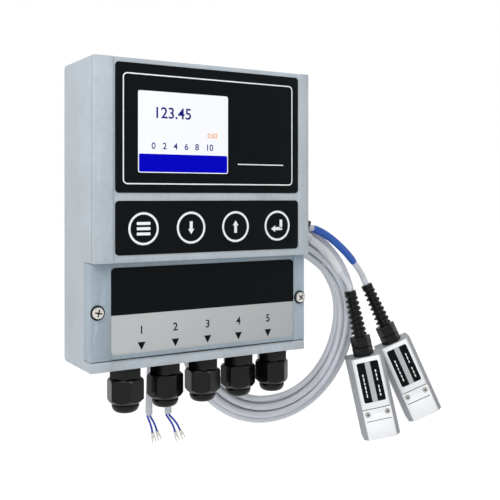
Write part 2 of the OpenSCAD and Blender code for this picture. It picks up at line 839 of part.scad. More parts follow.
module front_gasket() {
    inset = fit_gap;
    color(rubber) upright(left_x + inset, seam_z + inset, panel_back_y, upper_y) difference() {
        square([box_w - 2 * inset, panel_h - 2 * inset]);
        translate([gasket_w, -overrun])
            square([box_w - 2 * inset - 2 * gasket_w, panel_h - 2 * inset - gasket_w + overrun]);
    }
}

module panel_screws() {
    color(steel) for (sx = [-1, 1], z = panel_screw_zs) pan_screw(
        panel_screw_mid_x + sx * panel_screw_x, sunk_y + small_head_h, z, small_shank_d, small_head_d,
        small_head_h, panel_screw_len - small_head_h
    );
}

module display_overlay() {
    color(film_black) difference() {
        upright(film_x, display_z, film_y, sunk_y) round_rect(film_w, display_h, film_r);
        block(
            window_x - pane_gap, window_x + window_w + pane_gap, film_y - overrun, sunk_y + overrun,
            window_z - pane_gap, window_z + window_h + pane_gap
        );
    }
}

module display_window() {
    color(screen_white) block(window_x, window_x + window_w, film_y, sunk_y, window_z, window_z + window_h);
}

module keypad_overlay() {
    color(film_black) difference() {
        upright(film_x, keypad_z, film_y, sunk_y) round_rect(film_w, keypad_h, film_r);
        for (i = [0:key_count - 1]) bar_y(key_x(i), key_z, key_pocket_d, film_y - overrun, sunk_y + overrun);
    }
}

module key(i) {
    color(film_black) {
        bar_y(key_x(i), key_z, key_d, film_y, film_y + key_disc_t);
        bar_y(key_x(i), key_z, key_stem_d, film_y + key_disc_t, key_end_y);
    }
}

module key_menu() { key(0); }
module key_down() { key(1); }
module key_up() { key(2); }
module key_enter() { key(3); }

module key_switches() {
    color(nylon) for (i = [0:key_count - 1]) {
        block(
            key_x(i) - switch_w / 2, key_x(i) + switch_w / 2, switch_y, display_board_y,
            key_z - switch_w / 2, key_z + switch_w / 2
        );
        bar_y(key_x(i), key_z, plunger_d, plunger_y, switch_y);
    }
}

module lcd_module() {
    glass = lcd_border - lcd_glass_gap;
    color(screen_white) {
        block(
            window_mid_x - lcd_frame_w / 2, window_mid_x + lcd_frame_w / 2, lcd_front_y, lcd_back_y,
            window_mid_z - lcd_frame_h / 2, window_mid_z + lcd_frame_h / 2
        );
        block(
            window_x - glass, window_x + window_w + glass, sunk_y, lcd_front_y,
            window_z - glass, window_z + window_h + glass
        );
    }
}

module display_board() {
    color(board_green) difference() {
        block(
            display_board_x, display_board_x + display_board_w, display_board_y, display_board_y + board_t,
            display_board_z, display_board_z + display_board_h
        );
        for (x = display_post_xs, z = display_post_zs)
            bar_y(x, z, board_hole_d, display_board_y - overrun, display_board_y + board_t + overrun);
        corner_posts(panel_post_d + fit_gap, display_board_y - overrun, display_board_y + board_t + overrun);
    }
}

// Flat ribbon that steps down between the headers of the two boards
module ribbon_cable() {
    y0 = display_board_y + board_t;
    y1 = main_board_y;
    mid = (y0 + y1) / 2;
    color(cable_grey) translate([-ribbon_w / 2, 0, 0]) {
        block(0, ribbon_w, y0 + header_d, mid, ribbon_z, ribbon_z + ribbon_t);
        block(0, ribbon_w, mid - ribbon_t, mid, ribbon_z - ribbon_drop, ribbon_z + ribbon_t);
        block(
            0, ribbon_w, mid - ribbon_t, y1 - header_d, ribbon_z - ribbon_drop,
            ribbon_z - ribbon_drop + ribbon_t
        );
    }
    color(nylon) {
        block(
            -header_w / 2, header_w / 2, y0, y0 + header_d, ribbon_z - header_h / 2, ribbon_z + header_h / 2
        );
        block(
            -header_w / 2, header_w / 2, y1 - header_d, y1, ribbon_z - ribbon_drop - header_h / 2,
            ribbon_z - ribbon_drop + header_h / 2
        );
    }
}

module main_board() {
    color(board_green) difference() {
        block(
            -main_board_w / 2, main_board_w / 2, main_board_y, main_board_y + board_t, main_board_z,
            main_board_z + main_board_h
        );
        board_spots(board_hole_d, main_board_y - overrun, main_board_y + board_t + overrun);
    }
}

module board_screws() {
    color(steel) {
        for (
            sx = [-1, 1],
            z = [main_board_z + board_post_inset, main_board_z + main_board_h - board_post_inset]
        ) pan_screw(
            sx * (main_board_w / 2 - board_post_inset), main_board_y, z, small_shank_d, small_head_d,
            small_head_h, board_screw_len
        );
        shank_d = small_shank_d - 4 * shank_gap;
        for (x = display_post_xs, z = display_post_zs) translate([x, display_board_y + board_t, z])
            mirror([0, 1, 0]) pan_screw(0, 0, 0, shank_d, small_head_d, small_head_h, board_screw_len);
    }
}

// Places and sizes of the components, as shares of the main board's width and height, and their
// heights as shares of the power module's
component_shares = [
    [0.62, 0.62, 0.08, 0.05, 0.15], [0.78, 0.60, 0.06, 0.05, 0.1], [0.64, 0.80, 0.14, 0.07, 0.4],
    [0.86, 0.82, 0.08, 0.07, 0.5], [0.30, 0.50, 0.18, 0.06, 0.15], [0.16, 0.46, 0.06, 0.05, 0.1],
    [0.50, 0.92, 0.11, 0.05, 0.25]
];
capacitor_shares = [[0.14, 0.60], [0.86, 0.46], [0.72, 0.46]];
capacitor_d = 9;
capacitor_h = 14;
power_w = 52;
power_h = 30;
power_d = 20;

module board_components() {
    color(nylon) for (c = component_shares) {
        x = -main_board_w / 2 + c[0] * main_board_w;
        z = main_board_z + c[1] * main_board_h;
        w = c[2] * main_board_w;
        h = c[3] * main_board_h;
        block(x - w / 2, x + w / 2, main_board_y - c[4] * power_d, main_board_y, z - h / 2, z + h / 2);
    }
    color(zinc) for (c = capacitor_shares) bar_y(
        -main_board_w / 2 + c[0] * main_board_w, main_board_z + c[1] * main_board_h, capacitor_d,
        main_board_y - capacitor_h, main_board_y
    );
}

module power_module() {
    color(nylon) block(
        -main_board_w / 2 + board_post_inset, -main_board_w / 2 + board_post_inset + power_w,
        main_board_y - power_d, main_board_y, main_board_z + main_board_h - power_h - 3 * board_post_inset,
        main_board_z + main_board_h - 3 * board_post_inset
    );
}

module terminal_blocks() {
    z = main_board_z + terminal_rise;
    slot_pitch = terminal_w / terminal_ways;
    slot_y = main_board_y - terminal_d / 2;
    color(terminal_green) for (i = [0:gland_count - 1]) {
        x = gland_x(i) - terminal_w / 2;
        difference() {
            block(x, x + terminal_w, main_board_y - terminal_d, main_board_y, z, z + terminal_h);
            for (k = [0:terminal_ways - 1]) {
                mid = x + slot_pitch / 2 + k * slot_pitch;
                block(
                    mid - terminal_slot / 2, mid + terminal_slot / 2, slot_y - terminal_slot / 2,
                    slot_y + terminal_slot / 2, z - overrun, z + terminal_slot_depth
                );
            }
        }
    }
}

// Terminal cover

module terminal_cover() {
    color(paint_dark) difference() {
        union() {
            difference() {
                block(left_x, right_x, cover_y, cover_back_y, cover_z, cover_z + cover_h);
                sunk(cover_y, cover_sunk_y, cover_rail_left, cover_rail_right, cover_z, cover_z + cover_h);
            }
            for (side = [0, 1]) mirror([side, 0, 0]) block(
                right_x - flange_t, right_x, cover_back_y - overrun, flange_y - fit_gap, cover_z,
                cover_z + cover_h
            );
        }
        for (sx = [-1, 1]) bar_y(
            sx * cover_screw_x, cover_screw_z, cover_shank_d + 2 * shank_gap, cover_y - overrun,
            cover_back_y + overrun
        );
    }
}

module terminal_label() {
    color(label_silver) upright(label_x, cover_z + label_rise, cover_sunk_y - film_t, cover_sunk_y)
        round_rect(label_w, label_h, label_r);
}

// Cover screw whose head has a cross recess
module cover_screw(side) {
    recess_w = cover_head_d * recess_w_share;
    recess_l = cover_head_d * recess_l_share;
    head_y = cover_y - washer_t;
    x = side * cover_screw_x;
    color(steel) difference() {
        union() {
            pan_screw(
                x, head_y, cover_screw_z, cover_shank_d, cover_head_d, cover_head_h / 2, cover_screw_len
            );
            translate([x, head_y - cover_head_h / 2, cover_screw_z]) rotate([90, 0, 0])
                cylinder(h = cover_head_h / 2, d1 = cover_head_d, d2 = cover_head_d * head_top_share);
        }
        for (turn = [0, 90]) translate([x, head_y - cover_head_h, cover_screw_z]) rotate([0, turn + 45, 0])
            cube([recess_l, cover_head_h, recess_w], center = true);
    }
}

module cover_screw_left() { cover_screw(-1); }
module cover_screw_right() { cover_screw(1); }

module cover_washers() {
    color(rubber) for (sx = [-1, 1]) difference() {
        bar_y(sx * cover_screw_x, cover_screw_z, washer_d, cover_y - washer_t, cover_y);
        bar_y(
            sx * cover_screw_x, cover_screw_z, cover_shank_d + 2 * shank_gap, cover_y - washer_t - overrun,
            cover_y + overrun
        );
    }
}

// Cable glands, which point down from the floor

module at_gland(i) {
    translate([gland_x(i), gland_y, bottom_z]) rotate([0, 180, 0]) children();
}

module gland_body() {
    difference() {
        union() {
            rotate(body_turn) hex_bar(gland_body_af, gland_body_h);
            translate([0, 0, -gland_shank_len]) cylinder(h = gland_shank_len + overrun, d = gland_thread_d);
            cylinder(h = gland_body_h + nut_thread_len, d = nut_thread_d);
        }
        translate([0, 0, -gland_shank_len - overrun])
            cylinder(h = gland_shank_len + gland_body_h + nut_thread_len + 2 * overrun, d = gland_bore_d);
    }
}

module gland_bodies() {
    color(nylon) for (i = [0:gland_count - 1]) at_gland(i) gland_body();
}

module gland_locknut() {
    translate([0, 0, -floor_t - locknut_h]) difference() {
        hex_bar(locknut_af, locknut_h);
        translate([0, 0, -overrun]) cylinder(h = locknut_h + 2 * overrun, d = gland_thread_d + 2 * run_gap);
    }
}

module gland_locknuts() {
    color(nylon) for (i = [0:gland_count - 1]) at_gland(i) gland_locknut();
}

// Rubber seal: a sleeve in the gland's bore with a collar under its end
module gland_seals() {
    end = gland_body_h + nut_thread_len;
    color(rubber) for (i = [0:gland_count - 1]) at_gland(i) difference() {
        union() {
            translate([0, 0, end - seal_len]) cylinder(h = seal_len, d = gland_bore_d - 2 * run_gap);
            translate([0, 0, end]) cylinder(h = seal_lip, d = nut_thread_d);
        }
        translate([0, 0, end - seal_len - overrun])
            cylinder(h = seal_len + seal_lip + 2 * overrun, d = cable_bore_d);
    }
}

// Cap nut: hexagon with turned corners, and a domed end around the cable
module gland_nut(i) {
    inside_end = gland_body_h + nut_thread_len + seal_lip + run_gap;
    total = gland_nut_h + dome_h;
    color(nylon) at_gland(i) difference() {
        translate([0, 0, nut_start]) union() {
            rotate(-hex_step * nut_turn_shares[i]) turned_hex(gland_nut_af, gland_nut_h);
            rotate_extrude() polygon([
                [0, gland_nut_h - overrun], [dome_d / 2, gland_nut_h - overrun],
                [dome_d / 2, total - dome_round], [dome_d / 2 - dome_round / 3, total - dome_round / 3],
                [dome_d / 2 - dome_round, total], [0, total]
            ]);
        }
        translate([0, 0, nut_start - overrun])
            cylinder(h = inside_end - nut_start + overrun, d = nut_thread_d + 2 * run_gap);
        cylinder(h = nut_start + total + overrun, d = dome_mouth_d);
    }
}

module gland_nut_1() { gland_nut(0); }
module gland_nut_2() { gland_nut(1); }
module gland_nut_3() { gland_nut(2); }
module gland_nut_4() { gland_nut(3); }
module gland_nut_5() { gland_nut(4); }

// Wall bracket

module wall_bracket() {
    color(zinc) difference() {
        upright(-bracket_w / 2, -bracket_h / 2, -bracket_t, 0) round_rect(bracket_w, bracket_h, bracket_r);
        for (sx = [-1, 1], sz = [-1, 1]) bar_y(
            sx * wall_hole_x / 2, sz * wall_hole_z / 2, wall_hole_d, -bracket_t - overrun, overrun
        );
        standoff_spots(stand_screw_d + 2 * shank_gap, -bracket_t - overrun, overrun);
        for (sx = [-1, 1], sz = [-1, 1])
            translate([sx * standoff_x / 2, -csk_h - shank_gap, sz * standoff_z / 2]) rotate([-90, 0, 0])
                cylinder(
                    h = csk_h + shank_gap, d1 = stand_screw_d + 2 * shank_gap,
                    d2 = stand_head_d + 4 * shank_gap
                );
    }
}

module bracket_standoffs() {
    color(steel) for (sx = [-1, 1], sz = [-1, 1])
        translate([sx * standoff_x / 2, -bracket_t, sz * standoff_z / 2]) rotate([90, 0, 0]) difference() {
            hex_bar(standoff_af, standoff_len);
            translate([0, 0, -overrun]) cylinder(h = standoff_len + 2 * overrun, d = stand_bore_d);
        }
}

// Countersunk screws from the wall side and pan head screws from inside the housing
module standoff_screws() {
    color(steel) for (sx = [-1, 1], sz = [-1, 1]) {
        x = sx * standoff_x / 2;
        z = sz * standoff_z / 2;
        translate([x, -csk_h, z]) rotate([-90, 0, 0])
            cylinder(h = csk_h, d1 = stand_screw_d, d2 = stand_head_d);
        bar_y(x, z, stand_screw_d, -stand_screw_len, -csk_h);
        pan_screw(x, inner_back_y, z, stand_screw_d, stand_head_d, stand_head_h, stand_screw_len);
    }
}

// Bent saddle that carries the coil, with a flange that lies on the bracket
module cable_hanger() {
    lowest = coil_r + 2 * strand_pitch * (hanger_from - coil_start_angle) / 360 - sag_at(hanger_from);
    outer = lowest * cos(180 / coil_steps) - cable_d / 2 - fit_gap;
    depth = standoff_len - 2 * fit_gap;
    color(zinc) translate([coil_x, -bracket_t, coil_z]) rotate([90, 0, 0]) rotate([0, 0, hanger_from])
        rotate_extrude(angle = hanger_to - hanger_from) {
            translate([outer - hanger_t, 0]) square([hanger_t, depth]);
            translate([outer - hanger_flange, 0]) square([hanger_flange, hanger_t]);
            translate([outer - hanger_t, depth - hanger_t / 2]) square([hanger_t + hanger_lip, hanger_t / 2]);
        }
}

// Closed strap around the coil's strands
module coil_tie() {
    w = tie_r_out - tie_r_in;
    color(rubber) translate([coil_x, coil_y, coil_z]) rotate([0, -tie_angle, 0])
        translate([tie_r_in, -tie_depth / 2, -tie_w / 2]) linear_extrude(tie_w) difference() {
            translate([-tie_t, -tie_t]) round_rect(w + 2 * tie_t, tie_depth + 2 * tie_t, 2 * tie_t);
            round_rect(w, tie_depth, tie_t);
        }
}

// Transducers: the local origin is the middle of the top, with -Z along the transducer and -Y its front

module at_sensor(mouth, lean) {
    translate(mouth) rotate([0, 0, -sensor_yaw]) rotate([0, -lean, 0])
        translate([0, 0, -sensor_gland_end]) children();
}

// Half width of the transducer's section at a local y within its slanted flanks
function half_width(y) =
    (sensor_front_w + (sensor_back_w - sensor_front_w) * (y + sensor_t / 2) / flank_depth) / 2;

// Slice of the slanted part between two local y, as a prism that hangs down
module section_prism(y0, y1, len) {
    translate([0, 0, -len]) linear_extrude(len) polygon([
        [-half_width(y0), y0], [half_width(y0), y0], [half_width(y1), y1], [-half_width(y1), y1]
    ]);
}

// Whole section, with upright sides behind the slanted flanks
module full_prism(len) {
    front = -sensor_t / 2;
    side = sensor_back_w / 2;
    translate([0, 0, -len]) linear_extrude(len) polygon([
        [-sensor_front_w / 2, front], [sensor_front_w / 2, front], [side, front + flank_depth],
        [side, sensor_t / 2], [-side, sensor_t / 2], [-side, front + flank_depth]
    ]);
}

module sensor_body() {
    front = -sensor_t / 2;
    seat = front + cap_seat;
    difference() {
        full_prism(sensor_len);
        block(
            -sensor_back_w, sensor_back_w, front - overrun, seat, -sensor_len - overrun, -sensor_block_len
        );
        block(-cavity_w / 2, cavity_w / 2, seat - overrun, seat + cavity_d, cavity_z0, cavity_z1);
        for (sx = [-1, 1]) bar_y(
            sx * cap_screw_pitch / 2, -cap_screw_drop, cap_screw_d + 2 * shank_gap, seat - overrun,
            seat + cap_screw_len
        );
        translate([0, 0, -spigot_len - fit_gap])
            cylinder(h = spigot_len + fit_gap + overrun, d = spigot_d + 2 * shank_gap);
    }
}

// Cap over the crystal's cavity, with its raised pad
module sensor_cap() {
    seat = -sensor_t / 2 + cap_seat;
    top = seat - cap_t;
    plate_len = sensor_len - sensor_block_len - fit_gap;
    difference() {
        union() {
            translate([0, 0, -sensor_block_len - fit_gap]) section_prism(top, seat, plate_len);
            block(
                -cap_pad_w / 2, cap_pad_w / 2, top - cap_pad_t, top + overrun, -sensor_len,
                -sensor_len + cap_pad_len
            );
        }
        for (sx = [-1, 1]) bar_y(
            sx * cap_screw_pitch / 2, -cap_screw_drop, cap_screw_d + 2 * shank_gap, top - overrun,
            seat + overrun
        );
    }
}

module sensor_label() {
    front = -sensor_t / 2;
    upright(-sensor_label_w / 2, -label_drop - sensor_label_len, front - sensor_label_t, front)
        round_rect(sensor_label_w, sensor_label_len, film_r / 2);
}

module cap_screws() {
    top = -sensor_t / 2 + cap_seat - cap_t;
    for (sx = [-1, 1]) pan_screw(
        sx * cap_screw_pitch / 2, top, -cap_screw_drop, cap_screw_d, cap_head_d, cap_head_h, cap_screw_len
    );
}

// Gland body screwed into the transducer
module sensor_gland() {
    hex_bar(relief_af, relief_body_h);
    translate([0, 0, -spigot_len]) cylinder(h = spigot_len + overrun, d = spigot_d);
    cylinder(h = relief_body_h + relief_thread_len, d = relief_thread_d);
}

// Nut with the ribbed sleeve that guards the cable
module relief_nut() {
    rib_pitch = (relief_len - relief_cap_len) / (rib_count + 0.5);
    translate([0, 0, relief_body_h + fit_gap]) difference() {
        union() {
            turned_hex(relief_af, relief_nut_h);
            translate([0, 0, relief_nut_h - overrun]) cylinder(
                h = relief_len - relief_cap_len + overrun, d1 = relief_nut_core_d, d2 = relief_core_d
            );
            for (k = [0:rib_count - 1]) translate([0, 0, relief_nut_h + (k + 0.5) * rib_pitch])
                cylinder(h = rib_t, d = rib_d_low + (rib_d_top - rib_d_low) * k / (rib_count - 1));
            translate([0, 0, relief_nut_h + relief_len - relief_cap_len - fit_gap])
                cylinder(h = relief_cap_len, d = relief_cap_d);
        }
        translate([0, 0, -overrun]) cylinder(
            h = relief_thread_len + overrun, d = relief_thread_d + 2 * run_gap
        );
    }
}

module crystal() {
    seat = -sensor_t / 2 + cap_seat;
    block(
        -cavity_w / 2 + crystal_gap, cavity_w / 2 - crystal_gap, seat + crystal_gap,
        seat + cavity_d - crystal_gap, cavity_z0 + crystal_gap, cavity_z1 - crystal_gap
    );
}

module sensor_body_up() { color(sensor_silver) at_sensor(up_mouth, lean_up) sensor_body(); }
module sensor_body_down() { color(sensor_silver) at_sensor(down_mouth, lean_down) sensor_body(); }
module sensor_cap_up() { color(sensor_silver) at_sensor(up_mouth, lean_up) sensor_cap(); }
module sensor_cap_down() { color(sensor_silver) at_sensor(down_mouth, lean_down) sensor_cap(); }
module sensor_label_up() { color(film_black) at_sensor(up_mouth, lean_up) sensor_label(); }
module sensor_label_down() { color(film_black) at_sensor(down_mouth, lean_down) sensor_label(); }
module sensor_gland_up() { color(nylon) at_sensor(up_mouth, lean_up) sensor_gland(); }
module sensor_gland_down() { color(nylon) at_sensor(down_mouth, lean_down) sensor_gland(); }
module relief_nut_up() { color(nylon) at_sensor(up_mouth, lean_up) relief_nut(); }
module relief_nut_down() { color(nylon) at_sensor(down_mouth, lean_down) relief_nut(); }

module sensor_screws() {
    color(steel) {
        at_sensor(up_mouth, lean_up) cap_screws();
        at_sensor(down_mouth, lean_down) cap_screws();
    }
}

module transducer_crystals() {
    color(zinc) {
        at_sensor(up_mouth, lean_up) crystal();
        at_sensor(down_mouth, lean_down) crystal();
    }
}

// Cables

module coil_up() {
    color(cable_grey) tube(path_up, coil_from_up, tail_from_up, cable_d, coil_sides);
}
module coil_down() {
    color(cable_grey) tube(path_down, coil_from_down, tail_from_down, cable_d, coil_sides);
}
module tail_up() { color(cable_grey) tube(path_up, tail_from_up, end_up, cable_d, cord_sides); }
module tail_down() { color(cable_grey) tube(path_down, tail_from_down, end_down, cable_d, cord_sides); }
module lead_up() { color(cable_grey) tube(path_up, 0, sleeve_from_up, cable_d, cord_sides); }
module lead_down() { color(cable_grey) tube(path_down, 0, sleeve_from_down, cable_d, cord_sides); }
module sleeve_up() {
    color(sleeve_white) tube(path_up, sleeve_from_up, coil_from_up, sleeve_up_d, cord_sides);
}
module sleeve_down() {
    color(wire_blue) tube(path_down, sleeve_from_down, coil_from_down, sleeve_down_d, cord_sides);
}

module tail_wires() {
    color(wire_blue) for (route = wire_routes) tube(route, 0, len(route) - 1, wire_d, cord_sides);
}

// Fork lug that hangs from the end of a conductor
module lug(at, way) {
    translate(at) rotate([0, -atan2(way[0], -way[2]), 0]) {
        translate([0, 0, -lug_barrel_len]) cylinder(h = lug_barrel_len, d = lug_barrel_d);
        difference() {
            block(
                -lug_fork_w / 2, lug_fork_w / 2, -lug_fork_t / 2, lug_fork_t / 2,
                -lug_barrel_len - lug_fork_len, -lug_barrel_len
            );
            block(
                -lug_slot_w / 2, lug_slot_w / 2, -lug_fork_t, lug_fork_t,
                -lug_barrel_len - lug_fork_len - overrun, -lug_barrel_len - lug_slot_w
            );
        }
    }
}

module cable_lugs() {
    color(steel) for (route = wire_routes) lug(route[len(route) - 1], heading(route, len(route) - 1));
}

rear_housing();
front_panel();
front_gasket();
panel_screws();
display_overlay();
display_window();
keypad_overlay();
key_menu();
key_down();
key_up();
key_enter();
key_switches();
lcd_module();
display_board();
ribbon_cable();
main_board();
board_screws();
board_components();
power_module();
terminal_blocks();
terminal_cover();
terminal_label();
cover_screw_left();
cover_screw_right();
cover_washers();
gland_bodies();
gland_seals();
gland_locknuts();
gland_nut_1();
gland_nut_2();
gland_nut_3();
gland_nut_4();
gland_nut_5();
wall_bracket();
bracket_standoffs();
standoff_screws();
cable_hanger();
coil_tie();
sensor_body_up();
sensor_body_down();
sensor_cap_up();
sensor_cap_down();
sensor_label_up();
sensor_label_down();
sensor_screws();
sensor_gland_up();
sensor_gland_down();
relief_nut_up();
relief_nut_down();
transducer_crystals();
coil_up();
coil_down();
lead_up();
lead_down();
sleeve_up();
sleeve_down();
tail_up();
tail_down();
tail_wires();
cable_lugs();
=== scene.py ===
"""Studio scene of a wall-mounted flow meter with two clamp-on transducers.

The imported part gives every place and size. This file dresses it: it softens the edges of its
pieces, lays the prints on its films, sweeps the cables and gives each surface its finish.
The frame is the part's: X to the right, Z up and Y towards the wall. Sizes in the classes are in
millimetres, and MM turns them into Blender's metres.
"""

import json
import logging
import math
from dataclasses import dataclass, field, replace
from enum import Enum

import bpy
from mathutils import Matrix, Vector


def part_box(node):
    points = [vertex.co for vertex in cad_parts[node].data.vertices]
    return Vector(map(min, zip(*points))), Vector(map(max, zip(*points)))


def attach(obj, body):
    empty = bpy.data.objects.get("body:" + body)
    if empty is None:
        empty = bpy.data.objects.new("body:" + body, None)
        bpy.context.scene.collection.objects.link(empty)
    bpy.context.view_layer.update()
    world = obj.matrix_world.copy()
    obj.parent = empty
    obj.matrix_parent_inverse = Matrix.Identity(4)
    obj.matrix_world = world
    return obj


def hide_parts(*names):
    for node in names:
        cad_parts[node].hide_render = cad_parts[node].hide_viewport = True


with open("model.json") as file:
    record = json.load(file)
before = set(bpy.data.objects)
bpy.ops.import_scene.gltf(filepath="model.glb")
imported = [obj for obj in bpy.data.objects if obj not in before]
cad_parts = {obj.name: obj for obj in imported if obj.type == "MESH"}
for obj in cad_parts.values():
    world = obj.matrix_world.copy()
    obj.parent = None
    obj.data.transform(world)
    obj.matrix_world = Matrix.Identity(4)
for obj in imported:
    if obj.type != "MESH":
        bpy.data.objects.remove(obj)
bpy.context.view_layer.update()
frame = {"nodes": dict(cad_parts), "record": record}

MM = 0.001
MERGE = 0.001 * MM
MERGE_CAD = 0.002 * MM
FLAT_ANGLE = math.radians(0.2)
EDGE_ANGLE = math.radians(38)
CREASE_CAD = math.radians(32)
CREASE = math.radians(35)
CREASE_TUBE = math.radians(50)
SENSOR_YAW = 31.4
FILM_FRONT = -75.2
TAIL_Y = -7.6
LOG = logging.getLogger("flow_meter")
Colour = tuple[float, float, float]
Point = tuple[float, float, float]
Flat = tuple[float, float]


class Body(str, Enum):
    """The rigid bodies that pieces ride on."""

    HOUSING = "housing"
    COVER = "cover"
    MENU = "menu_key"
    DOWN = "down_key"
    UP = "up_key"
    ENTER = "enter_key"
    RELIEF_UP = "relief_up"
    RELIEF_DOWN = "relief_down"


class Recess(Enum):
    """Shapes of the recess in a screw's head."""

    CROSS = "cross"
    HEXAGON = "hexagon"


class Sign(Enum):
    """Signs on the keys."""

    BARS = "bars"
    DOWN = "down"
    UP = "up"
    HOOK = "hook"


def linear(red: int, green: int, blue: int) -> Colour:
    """Turns a colour of 0 to 255 a channel into linear light.

    Args:
        red: Red channel.
        green: Green channel.
        blue: Blue channel.

    Returns:
        The three linear values.
    """
    values = [channel / 255 for channel in (red, green, blue)]
    return tuple(v / 12.92 if v <= 0.04045 else ((v + 0.055) / 1.055) ** 2.4 for v in values)


def shade(colour: Colour, share: float) -> Colour:
    """A colour made darker or lighter by a share."""
    return tuple(min(1.0, value * share) for value in colour)


# Materials


class Signal:
    """An output socket of a shader node that can be added, multiplied and compared."""

    def __init__(self, graph: "Graph", socket: bpy.types.NodeSocket) -> None:
        """Keeps the socket and the graph it belongs to."""
        self.graph = graph
        self.socket = socket

    def _math(self, operation: str, other: "Signal | float") -> "Signal":
        """Adds a Math node.

        Args:
            operation: The node's operation.
            other: The second operand.

        Returns:
            The node's output.
        """
        node = self.graph.node("Math", {0: self, 1: other}, operation=operation)
        return Signal(self.graph, node.outputs[0])

    def __add__(self, other: "Signal | float") -> "Signal":
        """Sum of two signals."""
        return self._math("ADD", other)

    def __mul__(self, other: "Signal | float") -> "Signal":
        """Product of two signals."""
        return self._math("MULTIPLY", other)

    def __gt__(self, other: float) -> "Signal":
        """One where this signal is above the other."""
        return self._math("GREATER_THAN", other)

    def or_else(self, other: "Signal") -> "Signal":
        """The larger of two signals."""
        return self._math("MAXIMUM", other)

    __radd__ = __add__
    __rmul__ = __mul__


class Graph:
    """A node tree that nodes are added to."""

    def __init__(self, tree: bpy.types.NodeTree) -> None:
        """Keeps the tree's nodes and links."""
        self.nodes, self.links = tree.nodes, tree.links

    def feed(self, value: "Signal | float | tuple", socket: bpy.types.NodeSocket) -> None:
        """Links a signal to a socket, or sets a constant there.

        Args:
            value: A signal, a number or a colour.
            socket: The input that takes it.
        """
        if isinstance(value, Signal):
            self.links.new(value.socket, socket)
        elif socket.type == "RGBA" and len(value) == 3:
            socket.default_value = (*value, 1)
        else:
            socket.default_value = value

    def node(
        self, kind: str, inputs: dict[int | str, "Signal | float | tuple"], **settings: str
    ) -> bpy.types.Node:
        """Adds a node.

        Args:
            kind: Type of the node, without the words before it.
            inputs: What each socket takes, by the socket's name or number.
            **settings: The node's own settings, which are set first.

        Returns:
            The node.
        """
        node = self.nodes.new(f"ShaderNode{kind}")
        for name, value in settings.items():
            setattr(node, name, value)
        for key, value in inputs.items():
            self.feed(value, node.inputs[key])
        return node


class Skin(Graph):
    """The node graph of one material, around a Principled shader."""

    def __init__(self, name: str) -> None:
        """Starts a material with its shader and output."""
        self.material = bpy.data.materials.new(f"{name}_finish")
        self.material.use_nodes = True
        super().__init__(self.material.node_tree)
        self.nodes.clear()
        self.shader = self.node("BsdfPrincipled", {})
        self.node("OutputMaterial", {"Surface": Signal(self, self.shader.outputs["BSDF"])})

    def surface(self, **values: "Signal | float | tuple") -> bpy.types.Material:
        """Sets the shader's inputs.

        Args:
            **values: One value for each input, with underscores for the blanks in its name.

        Returns:
            The material.
        """
        for name, value in values.items():
            self.feed(value, self.shader.inputs[name.replace("_", " ")])
        return self.material

    def place(self, stretch: Point = (1, 1, 1), turn: float = 0) -> Signal:
        """Object coordinates, stretched and turned about Y.

        Args:
            stretch: Scale along each axis.
            turn: Angle about Y in degrees.

        Returns:
            The coordinates.
        """
        source = Signal(self, self.node("TexCoord", {}).outputs["Object"])
        rotation = (0, math.radians(turn), 0)
        node = self.node("Mapping", {"Vector": source, "Scale": stretch, "Rotation": rotation})
        return Signal(self, node.outputs["Vector"])

    def noise(self, size: float, detail: float = 2, where: Signal | None = None) -> Signal:
        """Cloudy noise.

        Args:
            size: Size of a patch in millimetres.
            detail: Number of finer layers.
            where: Coordinates, or None for the object's own.

        Returns:
            Values around one half.
        """
        inputs = {"Scale": 1 / (size * MM), "Detail": detail, "Vector": where or self.place()}
        return Signal(self, self.node("TexNoise", inputs).outputs["Fac"])

    def cells(self, size: float) -> Signal:
        """Random grey of cells.

        Args:
            size: Size of a cell in millimetres.

        Returns:
            One value for each cell.
        """
        cells = self.node("TexVoronoi", {"Scale": 1 / (size * MM), "Vector": self.place()})
        split = self.node("SeparateColor", {0: Signal(self, cells.outputs["Color"])})
        return Signal(self, split.outputs[0])

    def axis(self, index: int) -> Signal:
        """One object coordinate, in metres."""
        return Signal(self, self.node("SeparateXYZ", {0: self.place()}).outputs[index])

    def between(self, value: Signal, low: float, high: float) -> Signal:
        """Stretches a range to 0 to 1 and holds it there.

        Args:
            value: The signal.
            low: What becomes 0.
            high: What becomes 1.

        Returns:
            The stretched signal.
        """
        node = self.node("MapRange", {"From Min": low, "From Max": high, "Value": value})
        return Signal(self, node.outputs["Result"])

    def weigh(self, first: Signal, second: Signal, share: float) -> Signal:
        """Adds two signals.

        Args:
            first: The first signal.
            second: The second signal.
            share: Weight of the second; the first has the rest.

        Returns:
            The weighted sum.
        """
        return first * (1 - share) + second * share

    def blend(self, factor: Signal, first: "Colour | Signal", second: "Colour | Signal") -> Signal:
        """Mixes two colours.

        Args:
            factor: Share of the second colour.
            first: Colour at 0.
            second: Colour at 1.

        Returns:
            The mixed colour.
        """
        node = self.node("Mix", {0: factor, 6: first, 7: second}, data_type="RGBA")
        return Signal(self, node.outputs[2])

    def tones(self, factor: Signal, colour: Colour, dark: float, light: float) -> Signal:
        """Mixes a darker and a lighter shade of one colour.

        Args:
            factor: Share of the lighter one.
            colour: The colour.
            dark: Share of it at 0.
            light: Share of it at 1.

        Returns:
            The mixed colour.
        """
        return self.blend(factor, shade(colour, dark), shade(colour, light))

    def bump(self, height: Signal, depth: float, strength: float) -> Signal:
        """Raises the surface by a signal.

        Args:
            height: Height from 0 to 1.
            depth: Depth of the relief in millimetres.
            strength: Share of the effect.

        Returns:
            The bent normal.
        """
        inputs = {"Distance": depth * MM, "Strength": strength, "Height": height}
        return Signal(self, self.node("Bump", inputs).outputs["Normal"])


